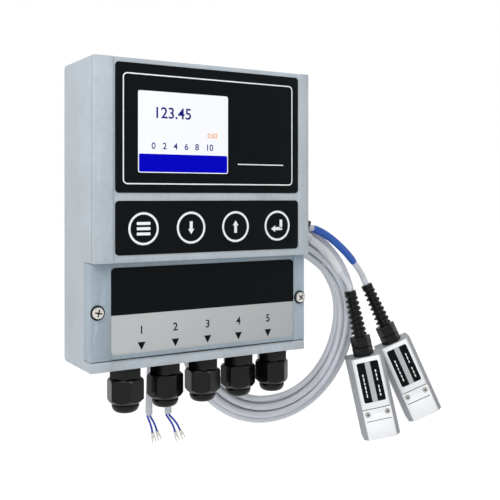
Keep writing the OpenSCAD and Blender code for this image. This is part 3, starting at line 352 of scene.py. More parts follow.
@dataclass(frozen=True)
class Finish:
    """A finish that builds its material once.

    Patches and grains are given by their size in millimetres. A spread is how far the roughness
    rises above its least value, and bump_t and bump_share are the relief's depth and strength.
    """

    name: str
    colour: Colour

    def make(self) -> bpy.types.Material:
        """Builds the material; each kind of finish has its own way."""
        raise NotImplementedError

    def material(self) -> bpy.types.Material:
        """The finish's material, built on first use."""
        return bpy.data.materials.get(f"{self.name}_finish") or self.make()


@dataclass(frozen=True)
class Paint(Finish):
    """Silver-grey paint on sheet metal, clouded and slightly brushed."""

    dark: float = 0.86
    light: float = 1.1
    cloud: float = 26
    patch: float = 3.2
    brush: float = 1.1
    brush_stretch: Point = (1, 1, 0.08)
    grain: float = 0.35
    patch_share: float = 0.4
    stroke_share: float = 0.3
    tone_low: float = 0.3
    tone_high: float = 0.7
    rough: float = 0.36
    spread: float = 0.12
    metal: float = 0.12
    bump_t: float = 0.03
    bump_share: float = 0.35

    def make(self) -> bpy.types.Material:
        """Clouds of two sizes, upright brush marks and a fine grain."""
        g = Skin(self.name)
        patches = g.noise(self.patch, detail=3)
        clouds = g.weigh(g.noise(self.cloud, detail=3), patches, self.patch_share)
        strokes = g.noise(self.brush, where=g.place(self.brush_stretch))
        streaks = g.weigh(clouds, strokes, self.stroke_share)
        tone = g.between(streaks, self.tone_low, self.tone_high)
        grain = g.noise(self.grain)
        relief = g.weigh(grain, strokes, self.stroke_share)
        return g.surface(
            Base_Color=g.tones(tone, self.colour, self.dark, self.light),
            Roughness=g.between(grain, 0, 1) * self.spread + self.rough,
            Metallic=self.metal,
            Normal=g.bump(relief, self.bump_t, self.bump_share),
        )


@dataclass(frozen=True)
class Film(Finish):
    """Printed plastic film with a faint haze."""

    dark: float = 0.85
    light: float = 1.2
    haze: float = 18
    grain: float = 0.5
    rough: float = 0.23
    haze_spread: float = 0.08
    grain_spread: float = 0.06
    gloss: float = 0.07
    bump_t: float = 0.01
    bump_share: float = 0.3

    def make(self) -> bpy.types.Material:
        """Slow haze in colour and gloss over a fine texture."""
        g = Skin(self.name)
        haze = g.noise(self.haze, detail=3)
        grain = g.noise(self.grain)
        return g.surface(
            Base_Color=g.tones(haze, self.colour, self.dark, self.light),
            Roughness=haze * self.haze_spread + grain * self.grain_spread + self.rough,
            Specular_IOR_Level=self.gloss,
            Normal=g.bump(grain, self.bump_t, self.bump_share),
        )


@dataclass(frozen=True)
class Ink(Finish):
    """Opaque printed ink."""

    glow: float = 0
    fleck: float = 0.4
    dark: float = 0.96
    rough: float = 0.4
    spread: float = 0.1
    gloss: float = 0.07

    def make(self) -> bpy.types.Material:
        """Nearly even colour with small flecks, and a glow where it is part of a lit screen."""
        g = Skin(self.name)
        flecks = g.noise(self.fleck)
        colour = g.blend(flecks, shade(self.colour, self.dark), self.colour)
        return g.surface(
            Base_Color=colour,
            Roughness=flecks * self.spread + self.rough,
            Specular_IOR_Level=self.gloss,
            Emission_Color=colour,
            Emission_Strength=self.glow,
        )


@dataclass(frozen=True)
class Foil(Finish):
    """Brushed aluminium foil of a label."""

    dark: float = 0.92
    light: float = 1.05
    line: float = 0.5
    line_stretch: Point = (0.03, 1, 1)
    cloud: float = 20
    cloud_share: float = 0.4
    rough: float = 0.36
    spread: float = 0.15
    metal: float = 0.35
    bump_t: float = 0.01
    bump_share: float = 0.3

    def make(self) -> bpy.types.Material:
        """Fine level brush lines."""
        g = Skin(self.name)
        lines = g.noise(self.line, detail=3, where=g.place(self.line_stretch))
        tone = g.weigh(lines, g.noise(self.cloud), self.cloud_share)
        return g.surface(
            Base_Color=g.tones(tone, self.colour, self.dark, self.light),
            Roughness=lines * self.spread + self.rough,
            Metallic=self.metal,
            Normal=g.bump(lines, self.bump_t, self.bump_share),
        )


@dataclass(frozen=True)
class Nylon(Finish):
    """Moulded plastic or rubber with a fine grain."""

    rough: float = 0.42
    rough_drop: float = 0.09
    skin_spread: float = 0.12
    haze_spread: float = 0.06
    grain: float = 0.4
    haze: float = 7
    haze_low: float = 0.35
    haze_high: float = 0.7
    dark: float = 0.8
    light: float = 1.25
    gloss: float = 0.2
    bump_t: float = 0.03
    bump_share: float = 0.4

    def make(self) -> bpy.types.Material:
        """Pebbled skin with a rubbed, paler haze."""
        g = Skin(self.name)
        skin = g.noise(self.grain, detail=3)
        haze = g.between(g.noise(self.haze, detail=3), self.haze_low, self.haze_high)
        least = self.rough - self.rough_drop
        return g.surface(
            Base_Color=g.tones(haze, self.colour, self.dark, self.light),
            Roughness=skin * self.skin_spread + haze * self.haze_spread + least,
            Specular_IOR_Level=self.gloss,
            Normal=g.bump(skin, self.bump_t, self.bump_share),
        )


@dataclass(frozen=True)
class Jacket(Finish):
    """Smooth PVC skin of a cable or sleeve; wrinkle says how much of its creases shows, in relief and as
    painted shade in the creases and painted highlight on the ridges.
    """

    wrinkle: float = 0
    cloud: float = 14
    scuff: float = 1.4
    scuff_low: float = 0.52
    scuff_high: float = 0.72
    crease: float = 1.6
    crease_low: float = 0.2
    painted_shading_share: float = 0.7
    grain: float = 0.8
    grain_share: float = 0.2
    dark: float = 0.95
    light: float = 1.04
    crease_painted_shade: float = 0.25
    ridge_painted_highlight: float = 0.3
    rough: float = 0.34
    spread: float = 0.12
    gloss: float = 0.5
    bump_t: float = 0.08
    bump_share: float = 0.35

    def make(self) -> bpy.types.Material:
        """Soft clouds, faint scuffs and, on a sleeve, small wrinkles with painted shade in the creases and
        painted highlight on the ridges.
        """
        g = Skin(self.name)
        scuffs = g.between(g.noise(self.scuff, detail=4), self.scuff_low, self.scuff_high)
        creases = g.noise(self.crease, detail=3) * self.wrinkle
        relief = creases + g.noise(self.grain) * self.grain_share
        # The colour follows the relief: painted shade in the creases, painted highlight on the ridges.
        painted_crease_shade = g.between(relief, self.crease_low, 1)
        tone = g.weigh(g.noise(self.cloud), painted_crease_shade, self.wrinkle * self.painted_shading_share)
        dark = self.dark - self.wrinkle * self.crease_painted_shade
        light = self.light + self.wrinkle * self.ridge_painted_highlight
        return g.surface(
            Base_Color=g.tones(tone, self.colour, dark, light),
            Roughness=scuffs * self.spread + self.rough,
            Specular_IOR_Level=self.gloss,
            Normal=g.bump(relief, self.bump_t, self.bump_share),
        )


@dataclass(frozen=True)
class Metal(Finish):
    """Bare or plated metal."""

    rough: float = 0.3
    rough_drop: float = 0.08
    grain_spread: float = 0.14
    scratch_spread: float = 0.06
    grain: float = 0.5
    scratch: float = 0.7
    scratch_stretch: Point = (1, 0.2, 0.1)
    scratch_turn: float = 35
    scratch_low: float = 0.5
    scratch_high: float = 0.75
    scratch_share: float = 0.3
    dark: float = 0.92
    light: float = 1.06
    bump_t: float = 0.02
    bump_share: float = 0.35

    def make(self) -> bpy.types.Material:
        """Fine grain with scratches in both colour and gloss."""
        g = Skin(self.name)
        grain = g.noise(self.grain, detail=3)
        along = g.place(self.scratch_stretch, self.scratch_turn)
        lines = g.noise(self.scratch, detail=4, where=along)
        scratches = g.between(lines, self.scratch_low, self.scratch_high)
        tone = g.weigh(grain, scratches, self.scratch_share)
        least = self.rough - self.rough_drop
        return g.surface(
            Base_Color=g.tones(tone, self.colour, self.dark, self.light),
            Roughness=grain * self.grain_spread + scratches * self.scratch_spread + least,
            Metallic=1,
            Normal=g.bump(grain, self.bump_t, self.bump_share),
        )


@dataclass(frozen=True)
class ShadedFlankMetal(Finish):
    """Aluminium, bright on its front, whose slanted flanks get painted shade: a darker colour for the shade
    they stand in.

    The flanks lie behind a plane at a depth, both in millimetres.
    """

    # Darker tone of the flanks: painted shade.
    flank_shade: Colour = linear(164, 167, 172)
    depth: float = 0
    fade: float = 0.5
    grain: float = 0.35
    front_dark: float = 0.95
    front_light: float = 1.03
    flank_dark: float = 0.88
    flank_light: float = 1.1
    rough: float = 0.32
    spread: float = 0.12
    gloss: float = 0.4
    metal: float = 0.1
    bump_t: float = 0.02
    bump_share: float = 0.35

    def make(self) -> bpy.types.Material:
        """Fine milled grain in front of a plane, and behind it a rougher grain in a darker colour that is
        painted shade.
        """
        g = Skin(self.name)
        turn = math.radians(SENSOR_YAW)
        reach = g.axis(0) * math.sin(turn) + g.axis(1) * math.cos(turn)
        behind = g.between(reach, self.depth * MM, (self.depth + self.fade) * MM)
        grain = g.noise(self.grain, detail=3)
        front = g.tones(grain, self.colour, self.front_dark, self.front_light)
        # The flank colour is painted shade, darker than the front because of how the light falls.
        side = g.tones(grain, self.flank_shade, self.flank_dark, self.flank_light)
        return g.surface(
            Base_Color=g.blend(behind, front, side),
            Roughness=grain * self.spread + behind * self.spread + self.rough,
            Metallic=self.metal,
            Specular_IOR_Level=self.gloss,
            Normal=g.bump(grain, self.bump_t, self.bump_share),
        )


@dataclass(frozen=True)
class Galvanised(Finish):
    """Zinc-coated sheet with its spangle."""

    crystal: float = 6
    grain: float = 0.6
    dark: float = 0.85
    light: float = 1.12
    rough: float = 0.3
    spread: float = 0.2
    metal: float = 0.8
    bump_t: float = 0.02
    bump_share: float = 0.3

    def make(self) -> bpy.types.Material:
        """Crystals of slightly different grey and gloss."""
        g = Skin(self.name)
        crystals = g.cells(self.crystal)
        return g.surface(
            Base_Color=g.tones(crystals, self.colour, self.dark, self.light),
            Roughness=crystals * self.spread + self.rough,
            Metallic=self.metal,
            Normal=g.bump(g.noise(self.grain), self.bump_t, self.bump_share),
        )


@dataclass(frozen=True)
class Laminate(Finish):
    """Circuit board with copper tracks under its lacquer."""

    track: float = 2.4
    ground: float = 0.55
    light: float = 1.7
    grain: float = 0.5
    rough: float = 0.3
    spread: float = 0.1
    bump_t: float = 0.04
    bump_share: float = 0.5

    def make(self) -> bpy.types.Material:
        """Cells of track and ground in two greens."""
        g = Skin(self.name)
        tracks = g.cells(self.track) > self.ground
        return g.surface(
            Base_Color=g.blend(tracks, self.colour, shade(self.colour, self.light)),
            Roughness=g.noise(self.grain) * self.spread + self.rough,
            Normal=g.bump(tracks, self.bump_t, self.bump_share),
        )


@dataclass(frozen=True)
class Glow(Finish):
    """Lit screen."""

    glow: float = 0.45
    cloud: float = 30
    smear: float = 9
    dark: float = 0.48
    light: float = 0.5
    dim: float = 0.97
    rough: float = 0.2
    spread: float = 0.05

    def make(self) -> bpy.types.Material:
        """Even light with a faint fall-off."""
        g = Skin(self.name)
        clouds = g.noise(self.cloud, detail=1)
        return g.surface(
            Base_Color=g.tones(clouds, self.colour, self.dark, self.light),
            Roughness=g.noise(self.smear, detail=1) * self.spread + self.rough,
            Emission_Color=g.blend(clouds, shade(self.colour, self.dim), self.colour),
            Emission_Strength=self.glow,
        )


class Palette:
    """The finishes of this part, and the bright tone of the transducers' metal."""

    HOUSING = Paint("housing_paint", linear(174, 183, 190))
    COVER = Paint("cover_paint", linear(157, 172, 183))
    BLACK_FILM = Film("black_film", linear(7, 11, 14))
    LABEL = Foil("label_silver", linear(174, 178, 179))
    NYLON = Nylon("black_nylon", linear(7, 8, 9), rough=0.25)
    RUBBER = Nylon("black_rubber", linear(22, 22, 23), rough=0.6)
    SCREW = Metal("screw_steel", linear(214, 212, 206), rough=0.28)
    ZINC = Galvanised("zinc_plate", linear(176, 180, 184))
    BOARD = Laminate("board_green", linear(24, 92, 56))
    TERMINAL = Nylon("terminal_green", linear(48, 140, 70), rough=0.45)
    CABLE = Jacket("cable_grey", linear(222, 226, 234))
    # A sleeve's wrinkle paints shade into its creases and highlight onto its ridges.
    SLEEVE_WHITE = Jacket("sleeve_white", linear(240, 240, 247), wrinkle=0.3)
    SLEEVE_BLUE = Jacket("sleeve_blue", linear(38, 96, 196), wrinkle=1)
    WIRE = Jacket("wire_blue", linear(30, 70, 190))
    LUG = Metal("tinned_copper", linear(206, 204, 198), rough=0.32)
    SENSOR = linear(240, 242, 245)
    CERAMIC = Nylon("ceramic", linear(220, 214, 200), rough=0.5)
    SCREEN = Glow("screen_white", linear(250, 252, 255))
    SCREEN_BLUE = Ink("screen_blue", linear(0, 0, 170), glow=0.25)
    NAVY = Ink("screen_navy", linear(24, 24, 124), glow=0.05)
    ORANGE = Ink("screen_orange", linear(232, 140, 50), glow=0.2)
    WHITE_INK = Ink("white_ink", linear(236, 238, 240))
    # Painted shade for the floor of the screws' recesses.
    RECESS_SHADE = Metal("recess_shade", linear(74, 73, 70), rough=0.6)
    # Black print, and painted shade around the transducers' screws and where their parts meet.
    BLACK_INK_AND_SHADE = Ink("black_ink_and_shade", linear(6, 9, 12))


# Modelling


def only(obj: bpy.types.Object) -> None:
    """Selects one object and makes it the active one."""
    bpy.ops.object.select_all(action="DESELECT")
    obj.select_set(True)
    bpy.context.view_layer.objects.active = obj


def bake_place(obj: bpy.types.Object) -> None:
    """Moves an object's place, turn and scale into its mesh."""
    only(obj)
    bpy.ops.object.transform_apply(location=True, rotation=True, scale=True)


def put(obj: bpy.types.Object, turn: Point = (0, 0, 0), at: Point = (0, 0, 0)) -> None:
    """Turns an object and then moves it, both in its mesh.

    Args:
        obj: The object.
        turn: Angles about X, Y and Z in degrees.
        at: The move in metres.
    """
    obj.rotation_euler = [math.radians(angle) for angle in turn]
    bake_place(obj)
    obj.location = at
    bake_place(obj)


def rounded(obj: bpy.types.Object, radius: float, steps: int, angle: float | None = None) -> None:
    """Rounds the edges of an object.

    Args:
        obj: The object.
        radius: Radius in millimetres.
        steps: Segments of the rounding.
        angle: Least angle of an edge that is rounded, or None for the tool's own.
    """
    bevel = obj.modifiers.new("rounding", "BEVEL")
    bevel.width = radius * MM
    bevel.segments = steps
    if angle is not None:
        bevel.limit_method = "ANGLE"
        bevel.angle_limit = angle
        bevel.use_clamp_overlap = True
    apply_modifiers(obj)


def meshed(name: str, curve: bpy.types.Curve) -> bpy.types.Object:
    """Turns a curve into a mesh object.

    Args:
        name: Name of the object.
        curve: The curve.

    Returns:
        The object.
    """
    drawn = bpy.data.objects.new(name, curve)
    bpy.context.scene.collection.objects.link(drawn)
    only(drawn)
    bpy.ops.object.convert(target="MESH")
    return bpy.context.view_layer.objects.active


def apply_modifiers(obj: bpy.types.Object) -> None:
    """Applies every modifier of an object in order."""
    only(obj)
    for modifier in list(obj.modifiers):
        bpy.ops.object.modifier_apply(modifier=modifier.name)


def joined(name: str, parts: list[bpy.types.Object]) -> bpy.types.Object:
    """Joins several objects into the first.

    Args:
        name: Name of the result.
        parts: The objects, whose places are already in their meshes.

    Returns:
        The joined object.
    """
    only(parts[0])
    for part in parts[1:]:
        part.select_set(True)
    if len(parts) > 1:
        bpy.ops.object.join()
    parts[0].name = parts[0].data.name = name
    return parts[0]


def dress(obj: bpy.types.Object, body: Body | str, finish: Finish, *nodes: str) -> bpy.types.Object:
    """Gives a finished piece its material, its body and the nodes it stands for.

    Args:
        obj: The piece.
        body: The body that it rides on.
        finish: Its finish.
        *nodes: The CAD nodes that it replaces.

    Returns:
        The piece.
    """
    obj.data.materials.clear()
    obj.data.materials.append(finish.material())
    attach(obj, body.value if isinstance(body, Body) else body)
    if nodes:
        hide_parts(*nodes)
        slot_of(nodes[0])
    LOG.info("made %s", obj.name)
    return obj


def slot_of(node: str) -> str:
    """Name of the record's material slot of a node."""
    return next(s["material_slot"] for s in frame["record"]["subparts"] if s["node"] == node)


def body_of(node: str) -> str:
    """Name of the body that carries a node."""
    bodies = frame["record"]["behaviour"]["bodies"]
    return next(name for name, nodes in bodies.items() if node in nodes)


def softened(node: str, finish: Finish, radius: float = 0.3, steps: int = 2) -> bpy.types.Object:
    """Copies a node, merges its triangles and rounds its edges.

    Args:
        node: The CAD node.
        finish: Finish of the copy.
        radius: Radius of the rounding in millimetres.
        steps: Segments of the rounding.

    Returns:
        The piece that stands for the node.
    """
    piece = bpy.data.objects.new(f"{node}_shown", frame["nodes"][node].data.copy())
    bpy.context.scene.collection.objects.link(piece)
    only(piece)
    bpy.ops.mesh.customdata_custom_splitnormals_clear()
    bpy.ops.object.mode_set(mode="EDIT")
    bpy.ops.mesh.select_all(action="SELECT")
    bpy.ops.mesh.remove_doubles(threshold=MERGE_CAD)
    bpy.ops.mesh.dissolve_limited(angle_limit=FLAT_ANGLE)
    bpy.ops.object.mode_set(mode="OBJECT")
    rounded(piece, radius, steps, EDGE_ANGLE)
    bpy.ops.object.shade_smooth_by_angle(angle=CREASE_CAD)
    return dress(piece, body_of(node), finish, node)


def sweep(name: str, points: list[Vector], radius: float, sides: int, taper: float = 1) -> bpy.types.Object:
    """Sweeps a round tube along points.

    Args:
        name: Name of the piece.
        points: Points of its middle line, in metres.
        radius: Radius in metres.
        sides: Sides of the tube, a multiple of four.
        taper: Share of the radius at the two ends.

    Returns:
        The tube as a mesh with closed ends.
    """
    curve = bpy.data.curves.new(name, "CURVE")
    curve.dimensions = "3D"
    curve.bevel_depth = radius
    curve.bevel_resolution = sides // 2 - 2
    curve.use_fill_caps = True
    spline = curve.splines.new("POLY")
    spline.points.add(len(points) - 1)
    for index, (spot, point) in enumerate(zip(spline.points, points)):
        spot.co = (*point, 1)
        spot.radius = taper if index in (0, len(points) - 1) else 1
    tube = meshed(name, curve)
    bpy.ops.object.shade_smooth_by_angle(angle=CREASE_TUBE)
    return tube


def lathe(name: str, profile: list[Flat], sides: int = 48) -> bpy.types.Object:
    """Turns a profile once around Z.

    Args:
        name: Name of the piece.
        profile: Radius and height of each corner in millimetres, from the foot to the top or back to
            the start.
        sides: Sides of the turned form.

    Returns:
        The turned mesh.
    """
    curve = bpy.data.curves.new(name, "CURVE")
    curve.dimensions = "3D"
    spline = curve.splines.new("POLY")
    spline.points.add(len(profile) - 1)
    for spot, (radius, height) in zip(spline.points, profile):
        spot.co = (radius * MM, 0, height * MM, 1)
    turned = meshed(name, curve)
    screw = turned.modifiers.new("turn", "SCREW")
    screw.steps = screw.render_steps = sides
    screw.use_merge_vertices = True
    screw.merge_threshold = MERGE
    apply_modifiers(turned)
    bpy.ops.object.mode_set(mode="EDIT")
    bpy.ops.mesh.select_all(action="SELECT")
    bpy.ops.mesh.remove_doubles(threshold=MERGE)
    bpy.ops.mesh.normals_make_consistent(inside=False)
    bpy.ops.object.mode_set(mode="OBJECT")
    bpy.ops.object.shade_smooth_by_angle(angle=CREASE)
    return turned


def raised(profile: tuple[Flat, ...], height: float) -> list[Flat]:
    """A profile whose heights count from another height."""
    return [(radius, rise + height) for radius, rise in profile]


def cut(obj: bpy.types.Object, *tools: bpy.types.Object, kept: bool = False) -> bpy.types.Object:
    """Cuts tools out of an object and deletes them.

    Args:
        obj: The object.
        *tools: What is cut out.
        kept: Whether what lies inside the tools is kept instead.

    Returns:
        The object.
    """
    for tool in tools:
        boolean = obj.modifiers.new("cut", "BOOLEAN")
        boolean.operation = "INTERSECT" if kept else "DIFFERENCE"
        boolean.object = tool
        boolean.solver = "EXACT"
        apply_modifiers(obj)
        bpy.data.objects.remove(tool)
    only(obj)
    bpy.ops.object.shade_smooth_by_angle(angle=CREASE)
    return obj


def block(w: float, d: float, h: float, z: float) -> bpy.types.Object:
    """A box of a width, depth and height whose middle is at a height."""
    bpy.ops.mesh.primitive_cube_add(size=1, location=(0, 0, z * MM))
    box = bpy.context.active_object
    box.scale = (w * MM, d * MM, h * MM)
    bake_place(box)
    return box


def hexagon(flats: float, h: float, z: float, edge: float = 0) -> bpy.types.Object:
    """A hexagonal bar around Z.

    Args:
        flats: Width across the flats in millimetres.
        h: Its height.
        z: Height of its middle.
        edge: Radius of its edges.

    Returns:
        The bar, with a corner on X.
    """
    bpy.ops.mesh.primitive_cylinder_add(
        vertices=6,
        radius=flats / math.sqrt(3) * MM,
        depth=h * MM,
        location=(0, 0, z * MM),
        rotation=(0, 0, math.pi / 6),
    )
    bar = bpy.context.active_object
    bake_place(bar)
    if edge:
        rounded(bar, edge, steps=3)
        bpy.ops.object.shade_smooth_by_angle(angle=CREASE)
    return bar


@dataclass(frozen=True)
class PanScrew:
    """A screw whose seat lies in Y = 0 and whose head faces -Y.

    The crown's points and the recess are shares of the head's own size.
    """

    head_d: float
    head_h: float
    shank_d: float
    length: float
    recess: Recess
    thread_pitch: float = 0.8
    thread_depth: float = 0.25
    thread_end: float = 1
    neck: float = 0.6
    crown_shares: tuple[Flat, ...] = ((1, 0), (1, 0.45), (0.9, 0.76), (0.62, 0.95), (0, 1))
    arm_len_share: float = 0.64
    arm_w_share: float = 0.13
    flats_share: float = 0.55
    foot_share: float = 0.4
    foot_t: float = 0.1
    foot_rise: float = 0.06
    foot_slack: float = 0.1

    def profile(self) -> list[Flat]:
        """Outline of shank, thread and rounded head, from the tip to the crown."""
        shank, pitch = self.shank_d / 2, self.thread_pitch
        core = shank - self.thread_depth
        thread = []
        for k in range(int((self.length - self.thread_end) / pitch)):
            foot = -self.length + pitch * k
            thread += [(core, foot), (shank, foot + pitch / 2)]
        crown = [(self.head_d / 2 * r, self.head_h * h) for r, h in self.crown_shares]
        return [(0, -self.length), *thread, (shank, -self.neck), (shank, 0), *crown]

    def build(self, name: str) -> list[bpy.types.Object]:
        """Turns the screw and cuts its recess.

        Args:
            name: Name of the piece.

        Returns:
            The screw and the dark foot of its recess: a thin dark sheet of painted shade on the recess's
            floor.
        """
        screw = lathe(name, self.profile())
        # The dark sheets on the recess's floor are painted shade.
        foot = self.head_h * self.foot_share
        middle, low = foot + self.head_h / 2, foot + self.foot_rise
        t, slack = self.foot_t, self.foot_slack
        if self.recess is Recess.CROSS:
            length, width = self.head_d * self.arm_len_share, self.head_d * self.arm_w_share
            arms = [(length, width), (width, length)]
            tools = [block(w, d, self.head_h, middle) for w, d in arms]
            dark = [block(w - slack, d - slack, t, low) for w, d in arms]
        else:
            flats = self.head_d * self.flats_share
            tools = [hexagon(flats, self.head_h, middle)]
            dark = [hexagon(flats - slack, t, low)]
        cut(screw, *tools)
        made = [screw, joined(f"{name}_recess", dark)]
        for piece in made:
            put(piece, turn=(90, 0, 0))
        return made


def smoothed(points: list[Vector], steps: int) -> list[Vector]:
    """Runs a smooth line through points.

    Args:
        points: The points.
        steps: Pieces between two of them.

    Returns:
        The finer line.
    """
    line = []
    for i in range(len(points) - 1):
        a, b, c, d = (points[min(max(i + k, 0), len(points) - 1)] for k in (-1, 0, 1, 2))
        for k in range(steps):
            t = k / steps
            square, cube = 2 * a - 5 * b + 4 * c - d, 3 * b - a - 3 * c + d
            line.append(0.5 * (2 * b + (c - a) * t + square * t**2 + cube * t**3))
    return [*line, points[-1]]


@dataclass(frozen=True)
class Patch:
    """A rectangle of a print, or the room of a triangle: its middle, size and corner radius."""

    x: float
    z: float
    w: float
    h: float
    r: float = 0

    def moved(self, x: float, z: float, flip: int = 1) -> "Patch":
        """This patch counted from another middle, upside down where flip is -1."""
        return replace(self, x=self.x + x, z=self.z * flip + z)


@dataclass(frozen=True)
class Figures:
    """Centred numerals: the middle of their foot and the height of one."""

    text: str
    x: float
    z: float
    height: float


@dataclass
class Surface:
    """A flat front that prints lie on, drawn in X and Z in a plane that faces -Y.

    A numeral's height is a share of the font's size, and its weight a share of its height.
    """

    y: float
    body: Body
    place: Matrix = field(default_factory=Matrix)
    thick: float = 0.04
    corner_steps: int = 6
    ring_sides: int = 64
    height_share: float = 0.7
    weight_share: float = 0.018

    def _lay(self, obj: bpy.types.Object) -> bpy.types.Object:
        """Thickens a flat drawing and puts it on the surface."""
        solid = obj.modifiers.new("ink", "SOLIDIFY")
        solid.thickness = self.thick * MM
        solid.offset = 1
        apply_modifiers(obj)
        obj.data.transform(self.place)
        return obj

    def _start(self, x: float, z: float) -> dict:
        """Place and turn of a new primitive on this surface."""
        return {"location": (x * MM, self.y * MM, z * MM), "rotation": (math.pi / 2, 0, 0)}

    def panel(self, patch: Patch, line: float = 0, top_only: bool = False) -> bpy.types.Object:
        """A rectangle with round corners, filled or as a frame.

        Args:
            patch: Its place, size and corners.
            line: Width of the line of a frame, or 0 to fill it.
            top_only: Whether only the upper corners are round.

        Returns:
            The print.
        """
        bpy.ops.mesh.primitive_plane_add(size=1, **self._start(patch.x, patch.z))
        obj = bpy.context.active_object
        obj.scale = (patch.w * MM, patch.h * MM, 1)
        bake_place(obj)
        bpy.ops.object.mode_set(mode="EDIT")
        bpy.ops.mesh.select_mode(type="VERT")
        bpy.ops.mesh.select_all(action="DESELECT" if top_only else "SELECT")
        if top_only:
            bpy.ops.object.mode_set(mode="OBJECT")
            for vertex in obj.data.vertices:
                vertex.select = vertex.co.z > patch.z * MM
            bpy.ops.object.mode_set(mode="EDIT")
        if patch.r:
            bpy.ops.mesh.bevel(offset=patch.r * MM, segments=self.corner_steps, affect="VERTICES")
        if line:
            bpy.ops.mesh.select_all(action="SELECT")
            bpy.ops.mesh.inset(thickness=line * MM)
            bpy.ops.mesh.delete(type="FACE")
        bpy.ops.object.mode_set(mode="OBJECT")
        return self._lay(obj)

    def ring(self, x: float, z: float, d: float, line: float) -> bpy.types.Object:
        """A round line.

        Args:
            x: Middle in X.
            z: Middle in Z.
            d: Outer diameter.
            line: Width of the line.

        Returns:
            The print.
        """
        bpy.ops.mesh.primitive_circle_add(
            vertices=self.ring_sides, radius=d / 2 * MM, fill_type="NGON", **self._start(x, z)
        )
        obj = bpy.context.active_object
        bake_place(obj)
        bpy.ops.object.mode_set(mode="EDIT")
        bpy.ops.mesh.select_all(action="SELECT")
        bpy.ops.mesh.inset(thickness=line * MM)
        bpy.ops.mesh.delete(type="FACE")
        bpy.ops.object.mode_set(mode="OBJECT")
        return self._lay(obj)

    def triangle(self, patch: Patch, turn: float = 0) -> bpy.types.Object:
        """A triangle that points up before it is turned.

        Args:
            patch: Its middle, the width of its base and its height.
            turn: Turn to the left in degrees.

        Returns:
            The print.
        """
        bpy.ops.mesh.primitive_circle_add(vertices=3, radius=1, fill_type="NGON")
        obj = bpy.context.active_object
        obj.scale = (patch.w / math.sqrt(3) * MM, patch.h / 1.5 * MM, 1)
        bake_place(obj)
        obj.rotation_euler = (0, 0, math.radians(turn))
        bake_place(obj)
        obj.location, obj.rotation_euler = self._start(patch.x, patch.z).values()
        bake_place(obj)
        return self._lay(obj)

    def figures(self, row: Figures) -> bpy.types.Object:
        """Draws numerals.

        Args:
            row: The numerals with their place and height.

        Returns:
            The print.
        """
        bpy.ops.object.text_add(**self._start(row.x, row.z))
        obj = bpy.context.active_object
        obj.data.body = row.text
        obj.data.size = row.height / self.height_share * MM
        obj.data.offset = row.height * self.weight_share * MM
        obj.data.align_x = "CENTER"
        bpy.ops.object.convert(target="MESH")
        obj = bpy.context.active_object
        bake_place(obj)
        return self._lay(obj)

    def done(self, name: str, finish: Finish, *parts: bpy.types.Object) -> bpy.types.Object:
        """Joins prints of one colour into a piece of the surface's body."""
        return dress(joined(name, list(parts)), self.body, finish)


# The part's own assemblies


